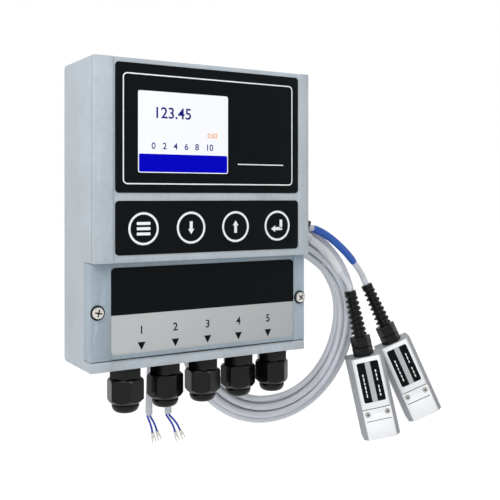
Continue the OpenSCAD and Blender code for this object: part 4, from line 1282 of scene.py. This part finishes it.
@dataclass
class Cable:
    """One transducer cable: lead, coil and tail on one smooth line."""

    side: str
    mouth: Point
    lean: float
    start_turn: float
    lead: list[Point]
    lead_out: float
    tail: list[Flat]
    sleeve_d: float
    sleeve_from: int
    sleeve: Finish
    diameter: float = 5.2
    coil_r: float = 65
    strand_pitch: float = 5.9
    layer_pitch: float = 5.8
    centre: Point = (92.5, -10.5, -86.5)
    first_angle: float = 90
    last_angle: float = 150
    loops: int = 3
    steps: int = 24
    run: float = 6.24
    sag: float = 7
    sag_arc: float = 120
    change: float = 0.5
    small_turn: float = 0.001
    front_layer: float = -0.5
    tie_angle: float = 67.5
    tail_y: float = TAIL_Y
    fineness: int = 3
    sides: int = 16
    sleeve_sides: int = 20
    sleeve_taper: float = 0.9

    def ring_point(self, radius: float, degrees: float, layer: float) -> Vector:
        """A point around the coil's centre.

        Args:
            radius: Distance from the centre.
            degrees: Angle from +X towards +Z.
            layer: From -0.5 in the front layer to 0.5 in the back one.

        Returns:
            The point in millimetres.
        """
        angle = math.radians(degrees)
        x, y, z = self.centre
        along, up = radius * math.cos(angle), radius * math.sin(angle)
        return Vector((x + along, y + layer * self.layer_pitch, z + up))

    def coil_point(self, turns: float) -> Vector:
        """A point of the coil.

        Args:
            turns: Turns from the start of the coil.

        Returns:
            The point in millimetres.
        """
        t = self.start_turn + turns
        degrees = self.first_angle + 360 * turns
        share = min(degrees % 360 / self.sag_arc, 1)
        drop = self.sag * math.sin(math.pi * share) ** 2
        radius = self.coil_r + 2 * self.strand_pitch * abs(t) - drop
        u = max(0.0, min(1.0, (t + self.change / 2) / self.change))
        return self.ring_point(radius, degrees, u * u * (3 - 2 * u) + self.front_layer)

    def out(self) -> Vector:
        """Direction in which the cable leaves its transducer."""
        lean, yaw = math.radians(self.lean), math.radians(SENSOR_YAW)
        side = math.sin(lean)
        return Vector((-side * math.cos(yaw), side * math.sin(yaw), math.cos(lean)))

    def way(self) -> list[Vector]:
        """Points of the whole cable in millimetres, from the transducer to the bare end."""
        turns = self.loops + (self.last_angle - self.first_angle) / 360
        count = round(turns * self.steps)
        coil = [self.coil_point(turns * i / count) for i in range(count + 1)]
        enter_run = (self.coil_point(self.small_turn) - coil[0]).normalized() * self.run
        exit_run = (coil[-1] - self.coil_point(turns - self.small_turn)).normalized() * self.run
        mouth = Vector(self.mouth)
        return [
            mouth,
            mouth + self.out() * self.run,
            *map(Vector, self.lead),
            self.ring_point(self.coil_r + self.lead_out, self.tie_angle, self.front_layer),
            coil[0] - enter_run,
            *coil,
            coil[-1] + exit_run,
            coil[-1] + 2 * exit_run,
            *(Vector((x, self.tail_y, z)) for x, z in self.tail),
        ]

    def build(self, wires: list[str]) -> None:
        """Args:
            wires: Names of the pieces on the cable's bare end; not used.
        """
        way = [point * MM for point in self.way()]
        line = smoothed(way, self.fineness)
        cable = sweep(f"cable_{self.side}", line, self.diameter / 2 * MM, self.sides)
        nodes = [f"{part}_{self.side}" for part in ("coil", "lead", "tail")]
        dress(cable, Body.HOUSING, Palette.CABLE, *nodes)
        first, last = self.fineness * self.sleeve_from, self.fineness * (len(self.lead) + 1)
        shrunk, radius = line[first : last + 1], self.sleeve_d / 2 * MM
        node = f"sleeve_{self.side}"
        sleeve = sweep(f"{node}_shown", shrunk, radius, self.sleeve_sides, self.sleeve_taper)
        dress(sleeve, Body.HOUSING, self.sleeve, node)
        length = sum((b - a).length for a, b in zip(line, line[1:]))
        LOG.info("cable %s is %.3f m long", self.side, length)
        self.diameter * MM


@dataclass(frozen=True)
class Lamp:
    """A square soft lamp; its places are in metres and its power in watts."""

    name: str
    at: Point
    aim: Point
    size: float
    power: float
    mirrored: bool

    def build(self) -> None:
        """Hangs the lamp and turns it to its aim; mirrored says whether gloss shows it."""
        data = bpy.data.lights.new(self.name, "AREA")
        data.size = self.size
        data.energy = self.power
        obj = bpy.data.objects.new(self.name, data)
        obj.visible_glossy = self.mirrored
        bpy.context.scene.collection.objects.link(obj)
        obj.location = self.at
        way = Vector(self.aim) - Vector(self.at)
        obj.rotation_euler = way.to_track_quat("-Z", "Y").to_euler()


@dataclass
class Studio:
    """Camera, lamps, floor and background; places are in metres."""

    camera_at: Point = (-0.2604, -0.5547, 0.0116)
    heading: float = 31.41
    lens: float = 57.62
    sensor_w: float = 36
    shift_y: float = -0.107
    near: float = 0.01
    far: float = 20
    sky_light: float = 0.18
    floor_z: float = -0.26
    floor_size: float = 12
    floor_grey: Colour = (0.86, 0.86, 0.86)
    floor_rough: float = 0.9
    floor_glow: float = 1.25
    floor_share: float = 0.8
    lamps: tuple[Lamp, ...] = (
        Lamp("key", at=(-0.7, -0.55, 0.6), aim=(0, -0.05, -0.05), size=0.5, power=9, mirrored=True),
        Lamp("top", at=(0.3, -0.4, 0.9), aim=(0.05, -0.05, -0.05), size=0.4, power=2.5, mirrored=True),
        Lamp("fill", at=(-0.7, -1.2, 0.1), aim=(0.05, -0.05, -0.05), size=0.8, power=4.5, mirrored=False),
    )

    def place_camera(self) -> None:
        """Puts the camera at the photograph's viewpoint, level, with a vertical shift."""
        data = bpy.data.cameras.new("camera")
        data.lens = self.lens
        data.sensor_width = self.sensor_w
        data.shift_y = self.shift_y
        data.clip_start, data.clip_end = self.near, self.far
        camera = bpy.data.objects.new("camera", data)
        bpy.context.scene.collection.objects.link(camera)
        camera.location = self.camera_at
        camera.rotation_euler = (math.pi / 2, 0, -math.radians(self.heading))
        bpy.context.scene.camera = camera

    def seen(self, graph: Graph) -> Signal:
        """One for rays that show the background: straight, mirrored or through glass."""
        path = graph.node("LightPath", {})
        names = ("Is Camera Ray", "Is Glossy Ray", "Is Transmission Ray")
        camera, glossy, clear = (Signal(graph, path.outputs[name]) for name in names)
        return camera.or_else(glossy).or_else(clear)

    def sky(self) -> None:
        """White where it is seen, and a softer light for the rest."""
        world = bpy.data.worlds.new("studio")
        bpy.context.scene.world = world
        world.use_nodes = True
        graph = Graph(world.node_tree)
        light = {"To Min": self.sky_light, "To Max": 1, "Value": self.seen(graph)}
        strength = Signal(graph, graph.node("MapRange", light).outputs["Result"])
        background = world.node_tree.nodes["Background"]
        graph.feed((1, 1, 1), background.inputs["Color"])
        graph.feed(strength, background.inputs["Strength"])

    def ground(self) -> None:
        """A wide pale floor that keeps the shadow."""
        bpy.ops.object.select_all(action="DESELECT")
        bpy.ops.mesh.primitive_plane_add(size=self.floor_size, location=(0, 0, self.floor_z))
        floor = bpy.context.active_object
        floor.name = "floor"
        material = bpy.data.materials.new("floor_white")
        material.use_nodes = True
        graph = Graph(material.node_tree)
        matt = graph.nodes["Principled BSDF"]
        graph.feed(self.floor_grey, matt.inputs["Base Color"])
        graph.feed(self.floor_rough, matt.inputs["Roughness"])
        glow = graph.node("Emission", {"Strength": self.floor_glow})
        share = self.seen(graph) * self.floor_share
        shaders = (Signal(graph, matt.outputs[0]), Signal(graph, glow.outputs[0]))
        mix = graph.node("MixShader", {0: share, 1: shaders[0], 2: shaders[1]})
        graph.feed(Signal(graph, mix.outputs[0]), graph.nodes["Material Output"].inputs["Surface"])
        floor.data.materials.append(material)

    def build(self) -> None:
        """Sets up light, floor and background."""
        bpy.context.scene.view_settings.view_transform = "Standard"
        self.sky()
        self.ground()
        for lamp in self.lamps:
            lamp.build()


@dataclass
class Housing:
    """Sheet-metal housing, its front panel and what stands behind them."""

    edge: float = 0.8
    edge_steps: int = 3

    def build(self) -> None:
        """Softens the shells and finishes the pieces that are kept as they are."""
        for node in ("rear_housing", "front_panel"):
            softened(node, Palette.HOUSING, self.edge, self.edge_steps)
        for node, finish in {
            "front_gasket": Palette.RUBBER,
            "panel_screws": Palette.SCREW,
            "board_screws": Palette.SCREW,
            "standoff_screws": Palette.SCREW,
            "key_switches": Palette.NYLON,
            "lcd_module": Palette.SCREEN,
            "display_board": Palette.BOARD,
            "main_board": Palette.BOARD,
            "ribbon_cable": Palette.CABLE,
            "board_components": Palette.NYLON,
            "power_module": Palette.NYLON,
            "terminal_blocks": Palette.TERMINAL,
            "transducer_crystals": Palette.CERAMIC,
            "gland_locknuts": Palette.NYLON,
        }.items():
            finish_node(node, finish)


def finish_node(node: str, finish: Finish) -> None:
    """Gives a CAD node that keeps its shape its finish."""
    mesh = frame["nodes"][node].data
    mesh.materials.clear()
    mesh.materials.append(finish.material())


@dataclass
class Display:
    """Display film with its line, window and what the screen shows."""

    film_edge: float = 0.12
    border: Patch = Patch(x=2.7, z=55.5, w=131.4, h=72, r=3.2)
    border_line: float = 0.8
    dash: Patch = Patch(x=41.4, z=34, w=38, h=0.7)
    pane: Patch = Patch(x=-18.95, z=53.85, w=67, h=53.4, r=1.4)
    pane_lift: float = 0.02
    pane_t: float = 0.1
    bar: Patch = Patch(x=-18.95, z=33.6, w=65.8, h=11.8, r=1)
    reading: Figures = Figures("123.45", x=-27.5, z=63.2, height=7.2)
    scale: Figures = Figures("0   2   4   6   8   10", x=-20, z=42.8, height=4.2)
    unit: Figures = Figures("0.02", x=2.4, z=51.4, height=3.2)
    ink_lift: float = 0.08
    ink_t: float = 0.03

    def build(self) -> None:
        """Lays the frame line, the lit pane and its figures."""
        softened("display_overlay", Palette.BLACK_FILM, self.film_edge)
        front = Surface(FILM_FRONT, Body.HOUSING)
        lines = [front.panel(self.border, self.border_line), front.panel(self.dash)]
        front.done("display_line", Palette.WHITE_INK, *lines)
        glass = Surface(FILM_FRONT + self.pane_lift, Body.HOUSING, thick=self.pane_t)
        window = joined("display_pane", [glass.panel(self.pane)])
        dress(window, Body.HOUSING, Palette.SCREEN, "display_window")
        ink = Surface(FILM_FRONT - self.ink_lift, Body.HOUSING, thick=self.ink_t)
        ink.done("screen_bar", Palette.SCREEN_BLUE, ink.panel(self.bar))
        rows = [ink.figures(self.reading), ink.figures(self.scale)]
        ink.done("screen_figures", Palette.NAVY, *rows)
        ink.done("screen_unit", Palette.ORANGE, ink.figures(self.unit))


@dataclass
class Keypad:
    """Keypad film with its four keys; the signs' places count from the middle of a key."""

    film_edge: float = 0.12
    key_edge: float = 0.15
    first: float = -48.5
    pitch: float = 34.6
    z: float = -9.3
    ring_d: float = 21.4
    ring_line: float = 1.45
    bars: tuple[Patch, ...] = tuple(Patch(x=0, z=z, w=9.6, h=1.9, r=0.3) for z in (-3.4, 0, 3.4))
    shaft: Patch = Patch(x=0, z=-1.6, w=2.2, h=5.4)
    tip: Patch = Patch(x=0, z=2, w=4.6, h=3.4)
    hook_post: Patch = Patch(x=3.1, z=1.2, w=2.2, h=6.2)
    hook_shaft: Patch = Patch(x=1, z=-2.1, w=6.4, h=2.2)
    hook_tip: Patch = Patch(x=-3, z=-2.1, w=4.8, h=3.4)

    def symbol(self, front: Surface, sign: Sign, x: float) -> list[bpy.types.Object]:
        """The parts of one key's sign: bars, an arrow down or up, or a hooked arrow."""
        if sign is Sign.BARS:
            return [front.panel(bar.moved(x, self.z)) for bar in self.bars]
        if sign is Sign.HOOK:
            strokes = [front.panel(part.moved(x, self.z)) for part in (self.hook_post, self.hook_shaft)]
            return [*strokes, front.triangle(self.hook_tip.moved(x, self.z), 90)]
        flip, turn = (-1, 180) if sign is Sign.DOWN else (1, 0)
        shaft = front.panel(self.shaft.moved(x, self.z, flip))
        return [shaft, front.triangle(self.tip.moved(x, self.z, flip), turn)]

    def build(self) -> None:
        """Finishes the film and prints each key's ring and sign."""
        softened("keypad_overlay", Palette.BLACK_FILM, self.film_edge)
        keys = (
            ("menu", Body.MENU, Sign.BARS),
            ("down", Body.DOWN, Sign.DOWN),
            ("up", Body.UP, Sign.UP),
            ("enter", Body.ENTER, Sign.HOOK),
        )
        for index, (name, body, sign) in enumerate(keys):
            softened(f"key_{name}", Palette.BLACK_FILM, self.key_edge)
            front = Surface(FILM_FRONT, body)
            x = self.first + index * self.pitch
            front.done(
                f"sign_{name}",
                Palette.WHITE_INK,
                front.ring(x, self.z, self.ring_d, self.ring_line),
                *self.symbol(front, sign, x),
            )


@dataclass
class TerminalCover:
    """Lower cover with its label and screws."""

    edge: float = 0.45
    label_edge: float = 0.12
    label_y: float = -69.6
    left: float = -68.75
    right: float = 73.05
    bottom: float = -90.9
    top: float = -34.4
    band: float = -65.2
    band_r: float = 3
    marks: int = 5
    first_mark: float = -47.5
    mark_pitch: float = 24.6
    arrow: Patch = Patch(x=0, z=5.3, w=5.6, h=5.2)
    number_rise: float = 12.6
    number_h: float = 5.2
    screw_kind: PanScrew = PanScrew(7.7, 2.2, shank_d=3.4, length=16, recess=Recess.CROSS)
    screw_turns: tuple[tuple[str, float], ...] = (("left", 12), ("right", 38))
    washer: tuple[Flat, ...] = (
        (2, -0.6),
        (4.6, -0.6),
        (4.85, -0.35),
        (4.85, -0.1),
        (4.6, 0.1),
        (4, 0.12),
        (2, 0.12),
    )
    # A thin dark rubber line along the cover's foot, painted shade for the seam there.
    seam_shade_reach: float = 82
    seam_shade_y: float = -69.7
    seam_shade_z: float = -94
    seam_shade_r: float = 0.4
    seam_shade_sides: int = 12
    seam_shade_taper: float = 0.6

    def screw(self, side: str, turn: float) -> bpy.types.Object:
        """Makes one cover screw and its washer.

        Args:
            side: Side of the cover.
            turn: Turn of its cross in degrees.

        Returns:
            The washer, which is joined with the other one.
        """
        node = f"cover_screw_{side}"
        low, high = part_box(node)
        front = low[1] + self.screw_kind.head_h * MM
        seat = ((low[0] + high[0]) / 2, front, (low[2] + high[2]) / 2)
        screw, recess = self.screw_kind.build(f"{node}_shown")
        for piece in (screw, recess):
            put(piece, turn=(0, turn, 0), at=seat)
        dress(screw, Body.COVER, Palette.SCREW, node)
        # The recess's dark foot is painted shade.
        dress(recess, Body.COVER, Palette.RECESS_SHADE)
        washer = lathe(f"washer_{side}", list(self.washer))
        put(washer, turn=(90, 0, 0), at=seat)
        return washer

    def prints(self) -> None:
        """The label's black band, arrows and numbers."""
        front = Surface(self.label_y, Body.COVER)
        mid, width = (self.left + self.right) / 2, self.right - self.left
        middle, height = (self.top + self.band) / 2, self.top - self.band
        band = front.panel(Patch(mid, middle, width, height, self.band_r), top_only=True)
        front.done("label_band", Palette.BLACK_INK_AND_SHADE, band)
        marks = []
        for index in range(self.marks):
            x = self.first_mark + self.mark_pitch * index
            number = Figures(str(index + 1), x, self.bottom + self.number_rise, self.number_h)
            marks.append(front.triangle(self.arrow.moved(x, self.bottom), 180))
            marks.append(front.figures(number))
        front.done("label_marks", Palette.BLACK_INK_AND_SHADE, *marks)

    def build(self) -> None:
        """Softens the cover, lays a dark line of painted shade along its foot and makes screws and prints.
        """
        softened("terminal_cover", Palette.COVER, self.edge)
        softened("terminal_label", Palette.LABEL, self.label_edge)
        # The dark line is painted shade along the seam at the cover's foot.
        reach = (-self.seam_shade_reach, 0, self.seam_shade_reach)
        way = [Vector((x, self.seam_shade_y, self.seam_shade_z)) * MM for x in reach]
        seal = sweep("cover_seam_shade", way, self.seam_shade_r * MM, self.seam_shade_sides, self.seam_shade_taper)
        dress(seal, Body.COVER, Palette.RUBBER)
        washers = [self.screw(side, turn) for side, turn in self.screw_turns]
        dress(joined("washers_shown", washers), Body.COVER, Palette.RUBBER, "cover_washers")
        self.prints()


@dataclass
class Glands:
    """Cable glands under the housing.

    A nut's heights count downwards from the housing's floor. Its outlines are radii and heights:
    shoulder and mouth count from the top of the hexagon, and toe, way_out and dome from its end.
    """

    first: float = -53.3
    pitch: float = 29
    y: float = -56.3
    foot: float = -101
    flats: float = 22
    start: float = 8.2
    hex_h: float = 16
    body_edge: float = 0.35
    seal_edge: float = 0.2
    nut_edge: float = 0.4
    turns: tuple[float, ...] = (23, 40, 27, 36, 44)
    shoulder: tuple[Flat, ...] = ((0, 0), (11.4, 0), (12.7, 1.5))
    toe: tuple[Flat, ...] = ((12.7, -2.6), (10, 0), (0, 0))
    mouth: tuple[Flat, ...] = ((0, -1), (10.5, -1), (10.5, 0.2), (9.4, 3), (8.3, 3))
    way_out: tuple[Flat, ...] = ((8.3, -3.9), (5.7, -3.9), (5.7, 9), (0, 9))
    dome: tuple[Flat, ...] = (
        (5.7, -1),
        (8.5, -1),
        (8.5, 0.8),
        (9.1, 1.1),
        (9.25, 1.6),
        (9.15, 2.6),
        (8.5, 4.3),
        (7.4, 5.5),
        (6.2, 6.1),
        (5.7, 5.9),
        (5.7, -1),
    )

    def nut(self, index: int) -> None:
        """A hexagonal cap nut with a wide open rim above and a ringed dome below.

        Args:
            index: Number of the gland, counted from the left.
        """
        top, end = self.start, self.start + self.hex_h
        body = hexagon(self.flats, self.hex_h, top + self.hex_h / 2, self.nut_edge)
        outline = lathe("outline", [*raised(self.shoulder, top), *raised(self.toe, end)])
        cut(body, outline, kept=True)
        cut(body, lathe("bore", [*raised(self.mouth, top), *raised(self.way_out, end)]))
        dome = lathe("dome", raised(self.dome, end))
        node = f"gland_nut_{index + 1}"
        nut = joined(f"{node}_shown", [body, dome])
        put(nut, turn=(0, 0, -self.turns[index]))
        x = self.first + self.pitch * index
        put(nut, turn=(0, 180, 0), at=(x * MM, self.y * MM, self.foot * MM))
        dress(nut, body_of(node), Palette.NYLON, node)

    def build(self) -> None:
        """Softens bodies and seals and makes the cap nuts."""
        softened("gland_bodies", Palette.NYLON, self.body_edge)
        softened("gland_seals", Palette.RUBBER, self.seal_edge)
        for index in range(len(self.turns)):
            self.nut(index)


@dataclass
class Bracket:
    """Wall bracket with standoffs, hanger and the coil's tie."""

    sheet_edge: float = 0.3
    standoff_edge: float = 0.25
    tie_edge: float = 0.3

    def build(self) -> None:
        """Softens the sheet pieces and the tie."""
        softened("wall_bracket", Palette.ZINC, self.sheet_edge)
        softened("bracket_standoffs", Palette.ZINC, self.standoff_edge)
        softened("cable_hanger", Palette.ZINC, self.sheet_edge)
        softened("coil_tie", Palette.RUBBER, self.tie_edge)


@dataclass
class Transducer:
    """Clamp-on transducer with its label, cap and ribbed strain relief.

    Prints count from the transducer's own axes. The sleeve's foot counts from where its ridge
    starts, and its collar from its top.
    """

    side: str
    mouth: Point
    lean: float
    relief_body: Body
    front: float = -12
    hex_h: float = 7.3
    nut_h: float = 8.6
    relief_len: float = 39
    plate: float = -10.8
    body_edge: float = 0.6
    body_steps: int = 3
    cap_edge: float = 0.25
    label_edge: float = 0.1
    gland_edge: float = 0.35
    label_t: float = 0.4
    gap: float = 0.3
    stripe: Patch = Patch(x=0, z=-20.15, w=4.4, h=33.1, r=0.2)
    dash_columns: tuple[tuple[float, float, int], ...] = ((-5.6, -14, 6), (5.4, -12, 3), (5.4, -25, 3))
    dash_pitch: float = 3.4
    dash_w: float = 0.9
    dash_h: float = 2.2
    dash_extra: float = 0.6
    # Dark lines of painted shade where the cap's parts meet.
    seam_shades: tuple[Patch, ...] = (Patch(x=0, z=-42.7, w=22.6, h=0.5), Patch(x=0, z=-52.7, w=20.6, h=0.5))
    screw_kind: PanScrew = PanScrew(3.6, 0.8, shank_d=2.2, length=6, recess=Recess.HEXAGON)
    screw_x: float = 8.25
    screw_z: float = -47
    screw_ring_d: float = 4.3
    screw_ring_line: float = 0.35
    nut_flats: float = 15
    nut_edge: float = 0.6
    sleeve_foot: tuple[Flat, ...] = ((0, -1), (4.5, -1))
    sleeve_collar: tuple[Flat, ...] = (
        (3.7, -5.2),
        (4.7, -5),
        (4.9, -4.7),
        (4.9, -0.6),
        (4.6, -0.15),
        (4.1, 0),
        (2.4, 0),
        (0, -0.3),
    )
    ridge_r: float = 1.15
    ridge_reach: float = 5.4
    ridge_taper: float = 1.05
    ridge_rise: float = 1.1
    ridge_room: float = 7.4
    ridge_turns: int = 7
    ridge_steps: int = 36
    ridge_sides: int = 12
    ridge_end: float = 0.5

    def place(self) -> Matrix:
        """Transform from the transducer's own axes to the part's frame, in metres."""
        return (
            Matrix.Translation(Vector(self.mouth) * MM)
            @ Matrix.Rotation(-math.radians(SENSOR_YAW), 4, "Z")
            @ Matrix.Rotation(-math.radians(self.lean), 4, "Y")
            @ Matrix.Translation((0, 0, -(self.hex_h + self.nut_h + self.relief_len) * MM))
        )

    def flank_start(self) -> float:
        """Distance of the cap's face from the part's origin, along the transducer's depth."""
        turn = math.radians(SENSOR_YAW)
        mouth = self.mouth[0] * math.sin(turn) + self.mouth[1] * math.cos(turn)
        return mouth + self.plate + self.gap

    def prints(self) -> None:
        """The label's silver stripe and plain lines, and dark rings and lines of painted shade around the
        screws and where the cap's parts meet.
        """
        label = Surface(self.front - self.label_t, Body.HOUSING, self.place())
        label.done(f"stripe_{self.side}", Palette.LABEL, label.panel(self.stripe))
        dashes = []
        for x, top, count in self.dash_columns:
            for k in range(count):
                height = self.dash_h + self.dash_extra * (k % 2)
                dashes.append(label.panel(Patch(x, top - self.dash_pitch * k, self.dash_w, height)))
        label.done(f"lines_{self.side}", Palette.WHITE_INK, *dashes)
        # Black rings around the screws and lines where the parts meet are painted shade.
        plate = Surface(self.plate, Body.HOUSING, self.place())
        ring, line = self.screw_ring_d, self.screw_ring_line
        gap_shades = [plate.ring(sign * self.screw_x, self.screw_z, ring, line) for sign in (-1, 1)]
        seam_shades = [plate.panel(seam) for seam in self.seam_shades]
        plate.done(f"gaps_{self.side}", Palette.BLACK_INK_AND_SHADE, *gap_shades, *seam_shades)

    def screws(self) -> list[bpy.types.Object]:
        """The cap's two screws, with hexagonal recesses."""
        heads, recesses = [], []
        for sign in (-1, 1):
            at = Vector((sign * self.screw_x, self.plate, self.screw_z)) * MM
            made = self.screw_kind.build(f"cap_screw_{self.side}")
            for piece, pile in zip(made, (heads, recesses)):
                put(piece, at=at)
                piece.data.transform(self.place())
                pile.append(piece)
        # The recesses' dark feet are painted shade.
        dress(joined(f"cap_recesses_{self.side}", recesses), Body.HOUSING, Palette.RECESS_SHADE)
        return heads

    def relief(self) -> None:
        """Nut and tapered sleeve with a collar and a ridge that winds up around it."""
        foot = self.hex_h + self.gap
        top = foot - self.gap + self.nut_h + self.relief_len
        ribs = foot + self.nut_h
        outline = [*raised(self.sleeve_foot, ribs), *raised(self.sleeve_collar, top)]
        sleeve = lathe("sleeve", outline)
        ridge = []
        count = self.ridge_turns * self.ridge_steps
        for k in range(count + 1):
            t = k / count
            reach = self.ridge_reach - self.ridge_taper * t
            angle = 2 * math.pi * k / self.ridge_steps
            height = ribs + self.ridge_rise + (top - self.ridge_room - ribs) * t
            ridge.append(Vector((reach * math.cos(angle), reach * math.sin(angle), height)) * MM)
        winding = sweep("ridge", ridge, self.ridge_r * MM, self.ridge_sides, self.ridge_end)
        nut = hexagon(self.nut_flats, self.nut_h, foot + self.nut_h / 2, self.nut_edge)
        piece = joined(f"relief_{self.side}_shown", [sleeve, winding, nut])
        piece.data.transform(self.place())
        dress(piece, self.relief_body, Palette.NYLON, f"relief_nut_{self.side}")

    def build(self) -> list[bpy.types.Object]:
        """Softens the metal pieces, prints the label and makes the strain relief.

        Returns:
            The cap's screws, which are joined with the other transducer's.
        """
        # The transducer's flanks get painted shade from this material.
        metal = ShadedFlankMetal(f"sensor_metal_{self.side}", Palette.SENSOR, depth=self.flank_start())
        softened(f"sensor_body_{self.side}", metal, self.body_edge, self.body_steps)
        softened(f"sensor_cap_{self.side}", metal, self.cap_edge)
        softened(f"sensor_label_{self.side}", Palette.BLACK_FILM, self.label_edge)
        softened(f"sensor_gland_{self.side}", Palette.NYLON, self.gland_edge)
        self.relief()
        self.prints()
        return self.screws()


@dataclass
class BareEnd:
    """Blue conductors and fork lugs at the end of the cables."""

    routes: tuple[tuple[Flat, ...], ...]
    y: float = TAIL_Y
    wire_d: float = 1.6
    wire_sides: int = 12
    fineness: int = 4
    lug_edge: float = 0.1

    def build(self) -> list[str]:
        """Sweeps the conductors and finishes the lugs.

        Returns:
            Names of the pieces.
        """
        wires = []
        for index, route in enumerate(self.routes):
            points = smoothed([Vector((x, self.y, z)) * MM for x, z in route], self.fineness)
            wires.append(sweep(f"wire_{index}", points, self.wire_d / 2 * MM, self.wire_sides))
        wire = dress(joined("wires_shown", wires), Body.HOUSING, Palette.WIRE, "tail_wires")
        lugs = softened("cable_lugs", Palette.LUG, self.lug_edge)
        return [wire.name, lugs.name]


UP_MOUTH = (161, -25.4, -67.6)
UP_LEAN = 12.3
DOWN_MOUTH = (191.5, -9.8, -65.4)
DOWN_LEAN = 24.2
UP_LEAD = [
    (153.405, -21.97, -51.595),
    (148.595, -20.215, -43.21),
    (142.485, -18.2, -35.085),
    (135.4, -15.99, -28.78),
    (127.99, -14.625, -23.71),
]
DOWN_LEAD = [
    (185.125, -9.23, -53.805),
    (176.61, -10.79, -45.03),
    (167.51, -12.61, -36.97),
    (157.305, -13.975, -29.17),
    (147.49, -14.43, -22.475),
    (137.87, -14.3, -17.405),
    (130.59, -14.3, -15.0),
]
UP_TAIL = [
    (3.4, -60),
    (-2.6, -72),
    (-8, -85),
    (-11.6, -99),
    (-13.2, -114),
    (-13.8, -129),
    (-14.3, -143.5),
    (-14.3, -150.5),
]
DOWN_TAIL = [
    (9, -62.6),
    (5.6, -74),
    (3.2, -88.5),
    (1.9, -103),
    (1.3, -118),
    (1.3, -132),
    (1.3, -144.5),
    (1.3, -151.5),
]
WIRES = (
    ((-15.4, -150.5), (-15.4, -152.2), (-13.9, -156), (-12.5, -160), (-11.6, -164.2)),
    ((-13.2, -150.5), (-13.2, -152.2), (-11.2, -155.6), (-9.4, -159.4), (-7.9, -163.6)),
    ((0.1, -151.5), (0.1, -153.2), (2.8, -157.2), (5.4, -161.6), (7, -166.2)),
    ((2.4, -151.5), (2.4, -153.2), (5.6, -156.8), (8.8, -161), (11.2, -165.7)),
)


def main() -> None:
    """Builds the scene, piece by piece."""
    logging.basicConfig(level=logging.INFO, format="%(message)s")
    studio = Studio()
    studio.place_camera()
    ends = BareEnd(WIRES).build()
    Cable(
        side="up",
        mouth=UP_MOUTH,
        lean=UP_LEAN,
        start_turn=-1,
        lead=UP_LEAD,
        lead_out=8.2,
        tail=UP_TAIL,
        sleeve_d=6.8,
        sleeve_from=2,
        sleeve=Palette.SLEEVE_WHITE,
    ).build(ends)
    Cable(
        side="down",
        mouth=DOWN_MOUTH,
        lean=DOWN_LEAN,
        start_turn=-1.5,
        lead=DOWN_LEAD,
        lead_out=14.6,
        tail=DOWN_TAIL,
        sleeve_d=6.4,
        sleeve_from=3,
        sleeve=Palette.SLEEVE_BLUE,
    ).build([])
    studio.build()
    Housing().build()
    Display().build()
    Keypad().build()
    TerminalCover().build()
    Glands().build()
    Bracket().build()
    screws = Transducer("up", UP_MOUTH, UP_LEAN, Body.RELIEF_UP).build()
    screws += Transducer("down", DOWN_MOUTH, DOWN_LEAN, Body.RELIEF_DOWN).build()
    dress(joined("sensor_screws_shown", screws), Body.HOUSING, Palette.SCREW, "sensor_screws")


if __name__ == "__main__":
    main()
